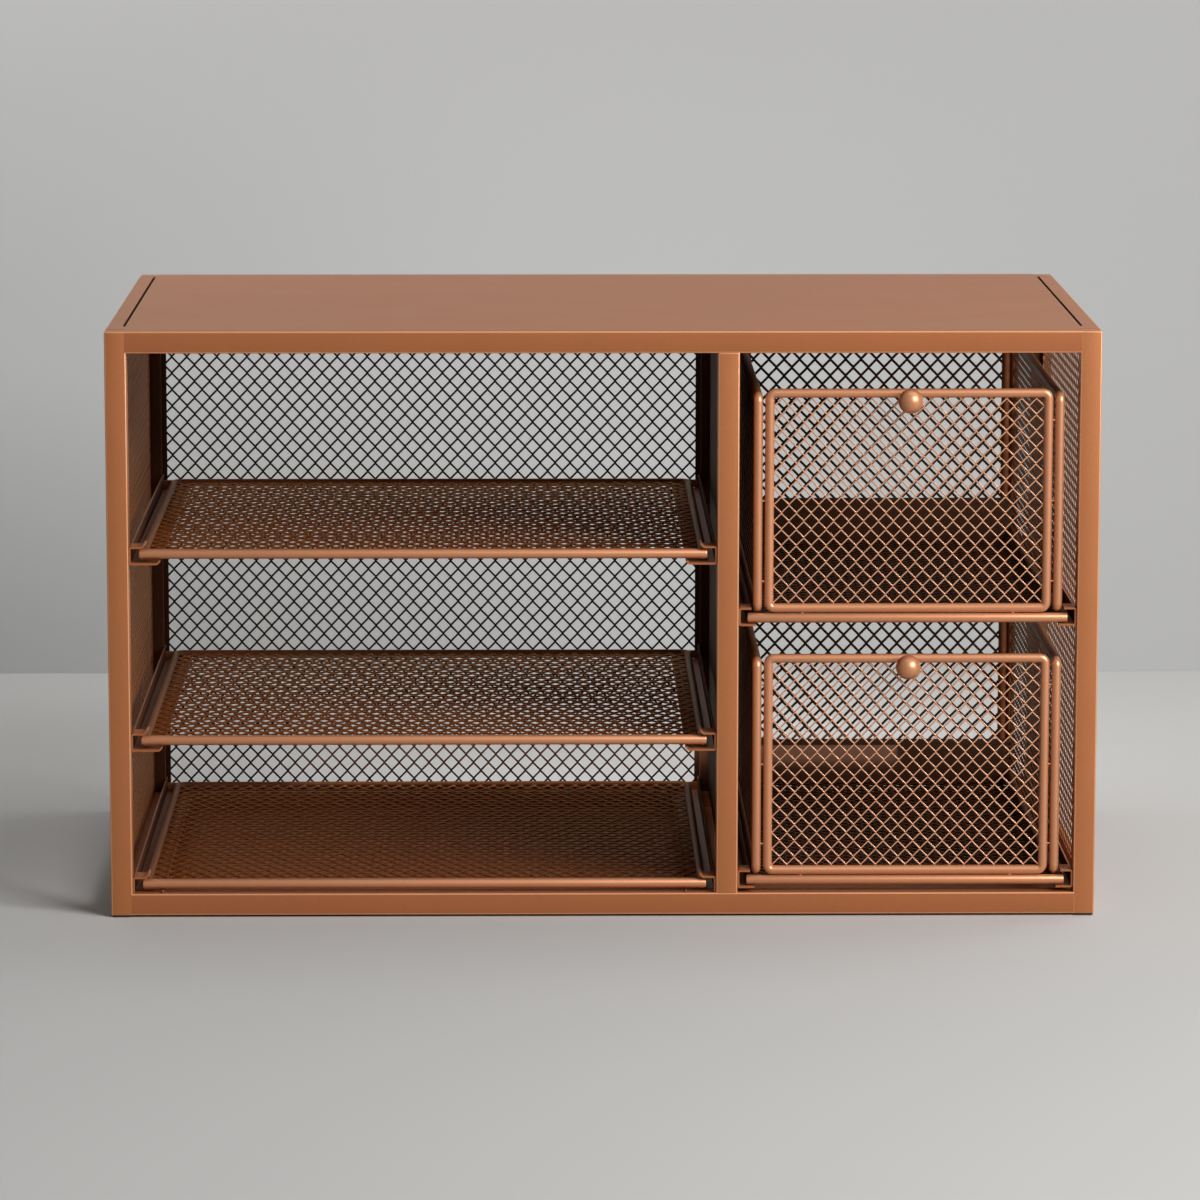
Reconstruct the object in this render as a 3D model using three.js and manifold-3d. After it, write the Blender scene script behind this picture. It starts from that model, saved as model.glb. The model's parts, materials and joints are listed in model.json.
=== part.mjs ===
// Desk organizer: a welded steel cabinet with three sliding mesh trays and two mesh drawers.
// Millimetres, +Z up, the front faces -Y. The origin is under the middle of the whole box.
import * as THREE from 'three';
import { mergeVertices } from 'three/addons/utils/BufferGeometryUtils.js';
import Module from 'manifold-3d';

const wasm = await Module();
wasm.setup();

// Overall sizes of the cabinet
const cabinetWidth = 540;
const cabinetDepth = 300;
const bodyHeight = 322;
const footHeight = 1.2;
const dividerShare = 0.6345;

// Fits
const fitGap = 0.3;
const overrun = 1;

// Square tube of posts and rails
const tubeWidth = 12;
const tubeWall = 1;
const tubeCorner = 0.8;
const topRailWidth = 8.5;

// Sheet of panels and runners
const sheetThickness = 1;
const topSlot = 0.8;
const returnFlange = 10.5;
const foldRadius = 1.6;
const bottomPanelRise = 1;

// Feet: a flat head under the post and a plug in its bore
const footOverhang = 0.5;
const footPlugLength = 8;

// Meshes: welded wire nets, each a flat lattice of diamonds with a solid edge
const netThickness = 1.2;
const strandWidth = 2;
const netEdge = 2;
const sideMeshInset = 5;

// Runners: C sections on the inner faces of the posts
const runnerHeight = 10;
const runnerSetback = 1.5;
const topFlange = 6.5;
const frontTab = 14;
const trayBottomFlange = 15;
const drawerBottomFlange = 9;
const runnerLip = 1.7;
const stopHeight = 6;
const rearGap = 1.4;

// Rods
const carrierRod = 5.4;
const traySideRod = 4.4;
const wallRod = 5;
const rodBluntEnd = 0.8;
const frontSetback = 5;

// Trays, from the top one down
const trayLevelShares = [0.6114, 0.2654];
const bottomTrayDrop = 1;
const trayInset = 5.2;
const trayHeadroom = 0.6;
const trayCornerRadius = 5;

// Drawers, from the upper one down
const drawerPitchShare = 0.4896;
const drawerRise = 2.3;
const drawerHeadroom = 15.95;
const baseInset = 4.6;
const baseCornerRadius = 6;
const wallClearance = 0.9;
const wallGap = 1.2;
const wallCornerRadius = 5.5;
const sideFrameDrop = 2;
const backHem = 20;
const weldDot = 1.6;
const weldShares = [-0.36, 0, 0.36];

// Knobs
const knobBall = 13.6;
const knobNeck = 4.6;
const knobNeckLength = 1.5;
const knobDrop = 3.2;

// Counts of facets
const rodSides = 8;
const turnedSides = 16;
const arcSteps = 4;
const ballSteps = 8;

// Diamonds across and up each net
const backNetCells = [5, 5];
const sideNetCells = [4, 4];
const trayNetCells = [4, 3];
const drawerFrontCells = [5, 4];
const drawerBackCells = [3, 2];
const drawerSideCells = [3, 2];
const drawerFloorCells = [2, 3];

// Places that follow from the sizes
const quarterTurn = Math.PI / 2;
const knobSeat = wallRod / 2 + fitGap;
const knobBallCentre = knobNeckLength + Math.sqrt(knobBall ** 2 - knobNeck ** 2) / 2;
const knobReach = knobSeat + knobBallCentre + knobBall / 2 - frontSetback;
const frontY = (knobReach - cabinetDepth) / 2;
const backY = frontY + cabinetDepth;
const midY = (frontY + backY) / 2;
const innerHalf = cabinetWidth / 2 - tubeWidth;
const postX = cabinetWidth / 2 - tubeWidth / 2;
const postFrontY = frontY + tubeWidth / 2;
const postBackY = backY - tubeWidth / 2;
const topZ = footHeight + bodyHeight;
const openingBottom = footHeight + tubeWidth;
const openingTop = topZ - tubeWidth;
const openingHeight = openingTop - openingBottom;
const leftBayWidth = dividerShare * (2 * innerHalf - tubeWidth);
const rightBayWidth = 2 * innerHalf - tubeWidth - leftBayWidth;
const leftBay = -innerHalf + leftBayWidth / 2;
const rightBay = innerHalf - rightBayWidth / 2;
const dividerX = -innerHalf + leftBayWidth + tubeWidth / 2;
const netRear = tubeWidth / 2 + netThickness / 2;
const runnerRear = cabinetDepth - netRear - rearGap;
const stopFace = runnerRear - sheetThickness;

const copper = { color: 0x9f613d, roughness: 0.42, metalness: 0.35 };
const rodCopper = { color: 0xb4714c, roughness: 0.36, metalness: 0.4 };
const wireCopper = { color: 0x8f5836, roughness: 0.4, metalness: 0.4 };
const blackRubber = { color: 0x1c1a19, roughness: 0.8, metalness: 0 };

// Turns a closed surface into a solid that can be cut and joined
function toSolid(geometry) {
  const bare = geometry.clone();
  bare.deleteAttribute('normal');
  bare.deleteAttribute('uv');
  const merged = mergeVertices(bare);
  return new wasm.Manifold(new wasm.Mesh({
    numProp: 3,
    vertProperties: merged.attributes.position.array,
    triVerts: Uint32Array.from(merged.index.array),
  }));
}

function toGeometry(solid) {
  const mesh = solid.getMesh();
  const geometry = new THREE.BufferGeometry();
  geometry.setAttribute('position', new THREE.BufferAttribute(mesh.vertProperties, 3));
  geometry.setIndex(new THREE.BufferAttribute(mesh.triVerts, 1));
  return geometry;
}

function piece(name, geometry, finish, parent) {
  const mesh = new THREE.Mesh(geometry, new THREE.MeshStandardMaterial({ ...finish, flatShading: true }));
  mesh.name = name;
  parent.add(mesh);
  return mesh;
}

// A flat outline pushed along its own Z, half to each side
function extruded(shape, length) {
  const geometry = new THREE.ExtrudeGeometry(shape, { depth: length, bevelEnabled: false, curveSegments: arcSteps });
  return geometry.translate(0, 0, -length / 2);
}

// Local X, Y, Z to Y, Z, X, for what runs along the width
function alongWidth(mesh) {
  mesh.rotation.set(quarterTurn, quarterTurn, 0);
  return mesh;
}

// Local Y to Z and local Z to -Y, for what stands in the front plane or runs along the depth
function upright(mesh) {
  mesh.rotation.set(quarterTurn, 0, 0);
  return mesh;
}

// Square with small cut corners, as drawn tube has
function tubeOutline(width, height) {
  const x = width / 2;
  const y = height / 2;
  return [
    new THREE.Vector2(x, y - tubeCorner),
    new THREE.Vector2(x - tubeCorner, y),
    new THREE.Vector2(-x + tubeCorner, y),
    new THREE.Vector2(-x, y - tubeCorner),
    new THREE.Vector2(-x, -y + tubeCorner),
    new THREE.Vector2(-x + tubeCorner, -y),
    new THREE.Vector2(x - tubeCorner, -y),
    new THREE.Vector2(x, -y + tubeCorner),
  ];
}

function rectangle(width, height) {
  const shape = new THREE.Shape();
  shape.moveTo(-width / 2, -height / 2);
  shape.lineTo(width / 2, -height / 2);
  shape.lineTo(width / 2, height / 2);
  shape.lineTo(-width / 2, height / 2);
  shape.closePath();
  return shape;
}

// Rail: a length of square tube, open at both ends
function railTube(width, height, length) {
  const shape = new THREE.Shape(tubeOutline(width, height));
  shape.holes.push(rectangle(width - 2 * tubeWall, height - 2 * tubeWall));
  return extruded(shape, length);
}

// Post: square tube, closed on top and open below, standing on its own Z = 0
function postTube(height) {
  const outer = extruded(new THREE.Shape(tubeOutline(tubeWidth, tubeWidth)), height);
  outer.translate(0, 0, height / 2);
  const bore = tubeWidth - 2 * tubeWall;
  const core = new THREE.BoxGeometry(bore, bore, height - tubeWall + overrun);
  core.translate(0, 0, (height - tubeWall - overrun) / 2);
  return toGeometry(toSolid(outer).subtract(toSolid(core)));
}

// Foot: a head the size of the post and a plug that fits its bore
function footSolid() {
  const headWidth = tubeWidth - 2 * footOverhang;
  const headHeight = footHeight - fitGap;
  const plugWidth = tubeWidth - 2 * tubeWall - 2 * fitGap;
  const head = new THREE.BoxGeometry(headWidth, headWidth, headHeight);
  head.translate(0, 0, headHeight / 2);
  const plug = new THREE.BoxGeometry(plugWidth, plugWidth, footPlugLength);
  plug.translate(0, 0, headHeight / 2 + footPlugLength / 2);
  return toGeometry(toSolid(head).add(toSolid(plug)));
}

// Points of a closed loop with round corners, about its own middle
function roundedLoop(width, height, radius) {
  const points = [];
  [[1, 1], [-1, 1], [-1, -1], [1, -1]].forEach(([sideX, sideY], quarter) => {
    for (let step = 0; step <= arcSteps; step += 1) {
      const angle = (quarter + step / arcSteps) * quarterTurn;
      const x = sideX * (width / 2 - radius) + radius * Math.cos(angle);
      const y = sideY * (height / 2 - radius) + radius * Math.sin(angle);
      points.push(new THREE.Vector3(x, y, 0));
    }
  });
  return points;
}

// Points of a U that is open towards -Y, with two round corners at the far end
function openLoop(width, length, radius) {
  const points = [new THREE.Vector3(width / 2, 0, 0)];
  [1, -1].forEach((side, quarter) => {
    for (let step = 0; step <= arcSteps; step += 1) {
      const angle = (quarter + step / arcSteps) * quarterTurn;
      const x = side * (width / 2 - radius) + radius * Math.cos(angle);
      const y = length - radius + radius * Math.sin(angle);
      points.push(new THREE.Vector3(x, y, 0));
    }
  });
  points.push(new THREE.Vector3(-width / 2, 0, 0));
  return points;
}

// A round rod bent along points that lie in one plane, mitred at each point
function bentRod(points, diameter, closed) {
  const count = points.length;
  const planeNormal = new THREE.Vector3(0, 0, 1);
  const positions = [];
  const indices = [];
  points.forEach((here, i) => {
    const before = points[(i + count - 1) % count];
    const after = points[(i + 1) % count];
    const first = !closed && i === 0;
    const last = !closed && i === count - 1;
    const incoming = first ? after.clone().sub(here) : here.clone().sub(before);
    const outgoing = last ? here.clone().sub(before) : after.clone().sub(here);
    incoming.normalize();
    outgoing.normalize();
    const tangent = incoming.clone().add(outgoing).normalize();
    const sideways = planeNormal.clone().cross(tangent).divideScalar(tangent.dot(outgoing));
    for (let k = 0; k < rodSides; k += 1) {
      const angle = (k + 0.5) / rodSides * 2 * Math.PI;
      const place = here.clone();
      place.addScaledVector(sideways, diameter / 2 * Math.cos(angle));
      place.addScaledVector(planeNormal, diameter / 2 * Math.sin(angle));
      positions.push(place.x, place.y, place.z);
    }
  });
  const spans = closed ? count : count - 1;
  for (let i = 0; i < spans; i += 1) {
    for (let k = 0; k < rodSides; k += 1) {
      const nextRing = (i + 1) % count;
      const nextSide = (k + 1) % rodSides;
      const a = i * rodSides + k;
      const b = i * rodSides + nextSide;
      const c = nextRing * rodSides + nextSide;
      const d = nextRing * rodSides + k;
      indices.push(a, b, c, a, c, d);
    }
  }
  const lastRing = (count - 1) * rodSides;
  for (let k = 1; !closed && k < rodSides - 1; k += 1) {
    indices.push(0, k + 1, k, lastRing, lastRing + k, lastRing + k + 1);
  }
  const geometry = new THREE.BufferGeometry();
  geometry.setAttribute('position', new THREE.Float32BufferAttribute(positions, 3));
  geometry.setIndex(indices);
  return geometry;
}

// A straight rod along X with blunt, slightly eased ends
function straightRod(length, diameter) {
  const half = length / 2;
  const radius = diameter / 2;
  const profile = [
    new THREE.Vector2(0, -half),
    new THREE.Vector2(radius - rodBluntEnd, -half),
    new THREE.Vector2(radius, -half + rodBluntEnd),
    new THREE.Vector2(radius, half - rodBluntEnd),
    new THREE.Vector2(radius - rodBluntEnd, half),
    new THREE.Vector2(0, half),
  ];
  return new THREE.LatheGeometry(profile, rodSides).rotateZ(-quarterTurn);
}

// Net: a lattice of diamonds in its own XY plane, with a solid edge and a deeper hem below
function netSolid(width, height, [across, up], hem = netEdge) {
  const left = -width / 2 + netEdge;
  const bottom = -height / 2 + hem;
  const halfX = (width - 2 * netEdge) / across / 2;
  const halfY = (height - netEdge - hem) / up / 2;
  const open = 1 - strandWidth / 2 * Math.sqrt(1 / halfX ** 2 + 1 / halfY ** 2);
  const spokes = [[1, 0], [0, 1], [-1, 0], [0, -1]];
  const gaps = [];
  for (let row = 0; row <= 2 * up; row += 1) {
    for (let column = row % 2; column <= 2 * across; column += 2) {
      const inside = ([x, y]) => Math.abs(column + x - across) <= across && Math.abs(row + y - up) <= up;
      const kept = spokes.filter(inside);
      const corners = kept.map(([x, y]) => new THREE.Vector2(
        left + halfX * (column + x * open),
        bottom + halfY * (row + y * open),
      ));
      if (kept.length === 2) {
        corners.push(new THREE.Vector2(left + halfX * column, bottom + halfY * row));
      }
      gaps.push(new THREE.Shape(corners));
    }
  }
  const plate = toSolid(new THREE.BoxGeometry(width, height, netThickness));
  return plate.subtract(toSolid(extruded(gaps, netThickness + 2 * overrun)));
}

// Cuts corners off a flat net, at the ends named, so that it clears bends of the given radius
function cornered(flatNet, width, length, radius, ends) {
  let solid = flatNet;
  for (const end of ends) {
    for (const side of [-1, 1]) {
      const wedge = new THREE.Shape([
        new THREE.Vector2(side * (width / 2 + overrun), end * (length / 2 - radius - overrun)),
        new THREE.Vector2(side * (width / 2 + overrun), end * (length / 2 + overrun)),
        new THREE.Vector2(side * (width / 2 - radius - overrun), end * (length / 2 + overrun)),
      ]);
      solid = solid.subtract(toSolid(extruded(wedge, netThickness + 2 * overrun)));
    }
  }
  return toGeometry(solid);
}

// Runner: a C section with its web on the posts, flanges towards the bay and a stop at its rear end.
// Its top flange is only a short tab at the front, and the side rod behind it lies open to view.
// One that lies lower than the bottom rails is notched to this height where it passes over them.
function runnerSolid(side, bottomFlange, lip, notch) {
  const length = runnerRear - runnerSetback;
  const h = runnerHeight;
  const t = sheetThickness;
  const slant = t * Math.SQRT1_2;
  const inner = t * (Math.SQRT2 - 1);
  const outline = [[0, 0], [bottomFlange, 0]];
  if (lip > 0) {
    outline.push([bottomFlange + lip, lip], [bottomFlange + lip - slant, lip + slant], [bottomFlange - inner, t]);
  } else {
    outline.push([bottomFlange, t]);
  }
  outline.push([t, t], [t, h - t], [topFlange, h - t]);
  if (lip > 0) {
    outline.push([topFlange + lip, h - t + lip], [topFlange + lip - slant, h - t + lip + slant], [topFlange - inner, h]);
  } else {
    outline.push([topFlange, h]);
  }
  outline.push([0, h]);
  const channel = extruded(new THREE.Shape(outline.map(([x, y]) => new THREE.Vector2(side * x, y))), length);
  const stop = new THREE.BoxGeometry(bottomFlange, stopHeight, t);
  stop.translate(side * bottomFlange / 2, stopHeight / 2, (t - length) / 2);
  const openWidth = topFlange + lip + overrun;
  const opening = new THREE.BoxGeometry(openWidth, t + lip + 2 * overrun, length - frontTab + overrun);
  opening.translate(side * (t + openWidth / 2), h + (lip - t) / 2, -(frontTab + overrun) / 2);
  let runner = toSolid(channel).add(toSolid(stop)).subtract(toSolid(opening));
  if (notch > 0) {
    const notchWidth = 2 * (bottomFlange + lip + overrun);
    for (const [end, reach] of [[1, runnerSetback], [-1, cabinetDepth - runnerRear]]) {
      const notchLength = 2 * (tubeWidth + fitGap - reach);
      const cut = new THREE.BoxGeometry(notchWidth, 2 * notch, notchLength).translate(0, 0, end * length / 2);
      runner = runner.subtract(toSolid(cut));
    }
  }
  return toGeometry(runner);
}

// Rod frame of a tray or of a drawer's base: a straight front rod and a U rod behind it
function carrierSolid(width, length, sideRod, frontLift, cornerRadius) {
  const loop = bentRod(openLoop(width - sideRod, length, cornerRadius), sideRod, false);
  const front = straightRod(width, carrierRod).translate(0, 0, frontLift);
  return toGeometry(toSolid(loop).add(toSolid(front)));
}

// Wall frame of a drawer: a closed rod loop, with weld dots on both upright sides if it stands between the sides
function wallSolid(width, height, welded) {
  const loop = bentRod(roundedLoop(width - wallRod, height - wallRod, wallCornerRadius), wallRod, true);
  if (!welded) {
    return loop;
  }
  const reach = wallRod / 2 + wallGap - fitGap;
  let frame = toSolid(loop);
  for (const share of weldShares) {
    for (const side of [-1, 1]) {
      const dot = new THREE.CylinderGeometry(weldDot / 2, weldDot / 2, reach, rodSides).rotateZ(quarterTurn);
      dot.translate(side * ((width - wallRod) / 2 + reach / 2), share * height, 0);
      frame = frame.add(toSolid(dot));
    }
  }
  return toGeometry(frame);
}

// Knob: a ball on a short neck, turned about its own Y
function knobSolid() {
  const profile = [new THREE.Vector2(0, 0), new THREE.Vector2(knobNeck / 2, 0)];
  const start = Math.asin(knobNeck / knobBall);
  for (let step = 0; step < ballSteps; step += 1) {
    const angle = start + (Math.PI - start) * step / ballSteps;
    const radius = knobBall / 2 * Math.sin(angle);
    profile.push(new THREE.Vector2(radius, knobBallCentre - knobBall / 2 * Math.cos(angle)));
  }
  profile.push(new THREE.Vector2(0, knobBallCentre + knobBall / 2));
  return new THREE.LatheGeometry(profile, turnedSides);
}

// Top panel: a sheet folded down at the front and back, with a return under each fold
function topPanelSolid() {
  const depth = cabinetDepth / 2;
  const t = sheetThickness;
  const shape = new THREE.Shape();
  shape.moveTo(-depth, 0);
  shape.lineTo(-depth, tubeWidth - foldRadius);
  shape.absarc(-depth + foldRadius, tubeWidth - foldRadius, foldRadius, Math.PI, quarterTurn, true);
  shape.lineTo(depth - foldRadius, tubeWidth);
  shape.absarc(depth - foldRadius, tubeWidth - foldRadius, foldRadius, quarterTurn, 0, true);
  shape.lineTo(depth, 0);
  shape.lineTo(depth - returnFlange, 0);
  shape.lineTo(depth - returnFlange, t);
  shape.lineTo(depth - t, t);
  shape.lineTo(depth - t, tubeWidth - foldRadius);
  shape.lineTo(depth - foldRadius, tubeWidth - t);
  shape.lineTo(-depth + foldRadius, tubeWidth - t);
  shape.lineTo(-depth + t, tubeWidth - foldRadius);
  shape.lineTo(-depth + t, t);
  shape.lineTo(-depth + returnFlange, t);
  shape.lineTo(-depth + returnFlange, 0);
  shape.closePath();
  let panel = toSolid(extruded(shape, 2 * (innerHalf - fitGap)));
  const ledge = tubeWidth - topRailWidth - topSlot + fitGap + overrun;
  const ledgeCentre = innerHalf - fitGap - overrun + ledge / 2;
  for (const side of [-1, 1]) {
    const strip = new THREE.BoxGeometry(cabinetDepth - 2 * (tubeWidth + fitGap), t, ledge);
    strip.translate(0, tubeWidth - t / 2, side * ledgeCentre);
    panel = panel.add(toSolid(strip));
  }
  return toGeometry(panel);
}

function buildPosts(cabinet) {
  const corners = [
    ['front_left', -1, postFrontY],
    ['front_right', 1, postFrontY],
    ['back_left', -1, postBackY],
    ['back_right', 1, postBackY],
  ];
  for (const [place, side, y] of corners) {
    piece(`post_${place}`, postTube(bodyHeight), copper, cabinet).position.set(side * postX, y, footHeight);
    piece(`foot_${place}`, footSolid(), blackRubber, cabinet).position.set(side * postX, y, 0);
  }
  const dividerHeight = openingHeight - 2 * fitGap;
  for (const [place, y] of [['front', postFrontY], ['back', postBackY]]) {
    const post = piece(`divider_post_${place}`, postTube(dividerHeight), copper, cabinet);
    post.position.set(dividerX, y, openingBottom + fitGap);
  }
}

function buildRails(cabinet) {
  const sideLength = cabinetDepth - 2 * (tubeWidth + fitGap);
  const frontLength = 2 * (innerHalf - fitGap);
  const bottomZ = footHeight + tubeWidth / 2;
  for (const [place, side] of [['left', -1], ['right', 1]]) {
    const top = piece(`rail_top_${place}`, railTube(topRailWidth, tubeWidth, sideLength), copper, cabinet);
    upright(top).position.set(side * (cabinetWidth - topRailWidth) / 2, midY, topZ - tubeWidth / 2);
    const bottom = piece(`rail_bottom_${place}`, railTube(tubeWidth, tubeWidth, sideLength), copper, cabinet);
    upright(bottom).position.set(side * postX, midY, bottomZ);
  }
  for (const [place, y] of [['front', postFrontY], ['back', postBackY]]) {
    const rail = piece(`rail_bottom_${place}`, railTube(tubeWidth, tubeWidth, frontLength), copper, cabinet);
    alongWidth(rail).position.set(0, y, bottomZ);
  }
}

function buildPanels(cabinet) {
  const innerDepth = cabinetDepth - 2 * (tubeWidth + fitGap);
  const innerHeight = openingHeight - 2 * fitGap;
  const middleZ = (openingBottom + openingTop) / 2;
  const top = piece('top_panel', topPanelSolid(), copper, cabinet);
  alongWidth(top).position.set(0, midY, openingTop);
  const divider = piece('divider_panel', extruded(rectangle(innerDepth, innerHeight), sheetThickness), copper, cabinet);
  alongWidth(divider).position.set(dividerX, midY, middleZ);
  const floor = extruded(rectangle(2 * (innerHalf - fitGap), innerDepth), sheetThickness);
  piece('bottom_panel', floor, copper, cabinet)
    .position.set(0, midY, footHeight + bottomPanelRise + sheetThickness / 2);
  const sideNet = netSolid(innerDepth, innerHeight, sideNetCells);
  for (const [place, side] of [['left', -1], ['right', 1]]) {
    const wall = piece(`side_mesh_${place}`, toGeometry(sideNet), wireCopper, cabinet);
    alongWidth(wall).position.set(side * (cabinetWidth / 2 - sideMeshInset), midY, middleZ);
  }
  const back = toGeometry(netSolid(leftBayWidth - 2 * fitGap, innerHeight, backNetCells));
  upright(piece('back_mesh', back, wireCopper, cabinet)).position.set(leftBay, postBackY, middleZ);
}

// A pair of runners on the two walls of a bay
function buildRunners(cabinet, name, bay, bayWidth, level, bottomFlange, lip) {
  const notch = Math.max(0, openingBottom + fitGap - level);
  for (const [place, side] of [['left', 1], ['right', -1]]) {
    const runner = piece(`${name}_runner_${place}`, runnerSolid(side, bottomFlange, lip, notch), copper, cabinet);
    const y = frontY + (runnerSetback + runnerRear) / 2;
    upright(runner).position.set(bay - side * (bayWidth / 2 - fitGap), y, level);
  }
}

// A tray, in a group whose origin is at the front plane, level with the underside of its runners.
// Its front rod and the rear of its U rod ride on the lips of the bottom flanges.
function buildTray(organizer, name, level) {
  const tray = new THREE.Group();
  tray.position.set(leftBay, frontY, level);
  organizer.add(tray);
  const width = leftBayWidth - 2 * trayInset;
  const lipTop = runnerLip + sheetThickness * Math.SQRT1_2;
  const rodZ = lipTop + fitGap + traySideRod / 2;
  const frontZ = runnerHeight - sheetThickness - trayHeadroom - carrierRod / 2;
  const length = stopFace - fitGap - traySideRod / 2 - frontSetback;
  const frame = carrierSolid(width, length, traySideRod, frontZ - rodZ, trayCornerRadius);
  piece(`${name}_frame`, frame, rodCopper, tray).position.set(0, frontSetback, rodZ);
  const netFront = frontSetback + carrierRod / 2 + fitGap;
  const netBack = frontSetback + length - traySideRod / 2 - fitGap;
  const netWidth = width - 2 * (traySideRod + fitGap);
  const netLength = netBack - netFront;
  const flatNet = netSolid(netWidth, netLength, trayNetCells);
  const floor = cornered(flatNet, netWidth, netLength, trayCornerRadius - traySideRod / 2, [1]);
  piece(`${name}_mesh`, floor, wireCopper, tray).position.set(0, netFront + netLength / 2, rodZ);
}

// A drawer, in a group placed as a tray's is: a rod base with a net floor, and four net walls that stand on it
function buildDrawer(organizer, name, level, frontHeight) {
  const drawer = new THREE.Group();
  drawer.position.set(rightBay, frontY, level);
  organizer.add(drawer);
  const rodZ = sheetThickness + fitGap + carrierRod / 2;
  const length = stopFace - fitGap - carrierRod / 2 - frontSetback;
  const rearY = frontSetback + length;
  const baseWidth = rightBayWidth - 2 * baseInset;
  const base = carrierSolid(baseWidth, length, carrierRod, 0, baseCornerRadius);
  piece(`${name}_base_frame`, base, rodCopper, drawer).position.set(0, frontSetback, rodZ);
  const floorWidth = baseWidth - 2 * (carrierRod + fitGap);
  const floorLength = length - carrierRod - 2 * fitGap;
  const flatNet = netSolid(floorWidth, floorLength, drawerFloorCells);
  const floor = cornered(flatNet, floorWidth, floorLength, baseCornerRadius - carrierRod / 2, [1]);
  piece(`${name}_floor_mesh`, floor, wireCopper, drawer).position.set(0, frontSetback + length / 2, rodZ);

  const wallBottom = rodZ + carrierRod / 2 + fitGap;
  const wallX = rightBayWidth / 2 - fitGap - topFlange - wallClearance - wallRod / 2;
  const frontWidth = 2 * (wallX - wallRod / 2 - wallGap);
  const sideHeight = frontHeight - sideFrameDrop;
  const sideDepth = length + wallRod;
  const opening = 2 * (wallRod + fitGap);
  const walls = [
    ['front', frontWidth, frontHeight, drawerFrontCells, netEdge, true, [0, frontSetback]],
    ['back', frontWidth, sideHeight, drawerBackCells, backHem, true, [0, rearY]],
    ['left', sideDepth, sideHeight, drawerSideCells, netEdge, false, [-wallX, (frontSetback + rearY) / 2]],
    ['right', sideDepth, sideHeight, drawerSideCells, netEdge, false, [wallX, (frontSetback + rearY) / 2]],
  ];
  for (const [place, width, height, cells, hem, facing, [x, y]] of walls) {
    const turn = facing ? upright : alongWidth;
    const frame = piece(`${name}_${place}_frame`, wallSolid(width, height, facing), rodCopper, drawer);
    turn(frame).position.set(x, y, wallBottom + height / 2);
    const flatWall = netSolid(width - opening, height - opening, cells, hem);
    const wallNet = cornered(flatWall, width - opening, height - opening, wallCornerRadius - wallRod / 2, [-1, 1]);
    const wall = piece(`${name}_${place}_mesh`, wallNet, wireCopper, drawer);
    turn(wall).position.set(x, y, wallBottom + height / 2);
  }

  const knob = piece(`${name}_knob`, knobSolid(), rodCopper, drawer);
  knob.rotation.x = Math.PI;
  knob.position.set(0, frontSetback - knobSeat, wallBottom + frontHeight - wallRod / 2 - knobDrop);
}

const organizer = new THREE.Group();
const cabinet = new THREE.Group();
organizer.add(cabinet);
buildPosts(cabinet);
buildRails(cabinet);
buildPanels(cabinet);

const trays = [
  ['tray_top', openingBottom + trayLevelShares[0] * openingHeight],
  ['tray_middle', openingBottom + trayLevelShares[1] * openingHeight],
  ['tray_bottom', openingBottom - bottomTrayDrop],
];
for (const [name, level] of trays) {
  buildRunners(cabinet, name, leftBay, leftBayWidth, level, trayBottomFlange, runnerLip);
  buildTray(organizer, name, level);
}

const drawerPitch = drawerPitchShare * openingHeight;
const wallRise = sheetThickness + carrierRod + 2 * fitGap;
const drawerFrontHeight = drawerPitch - wallRise - drawerHeadroom;
const drawers = [
  ['drawer_upper', openingBottom + drawerRise + drawerPitch],
  ['drawer_lower', openingBottom + drawerRise],
];
for (const [name, level] of drawers) {
  buildRunners(cabinet, name, rightBay, rightBayWidth, level, drawerBottomFlange, 0);
  buildDrawer(organizer, name, level, drawerFrontHeight);
}

export default organizer;
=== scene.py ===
"""Desk organizer, dressed: a welded cabinet of copper-painted steel with three sliding mesh trays and two mesh drawers.

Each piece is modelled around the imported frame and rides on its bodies. Lengths are metres.
"""
import json
import math
from dataclasses import dataclass

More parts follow.
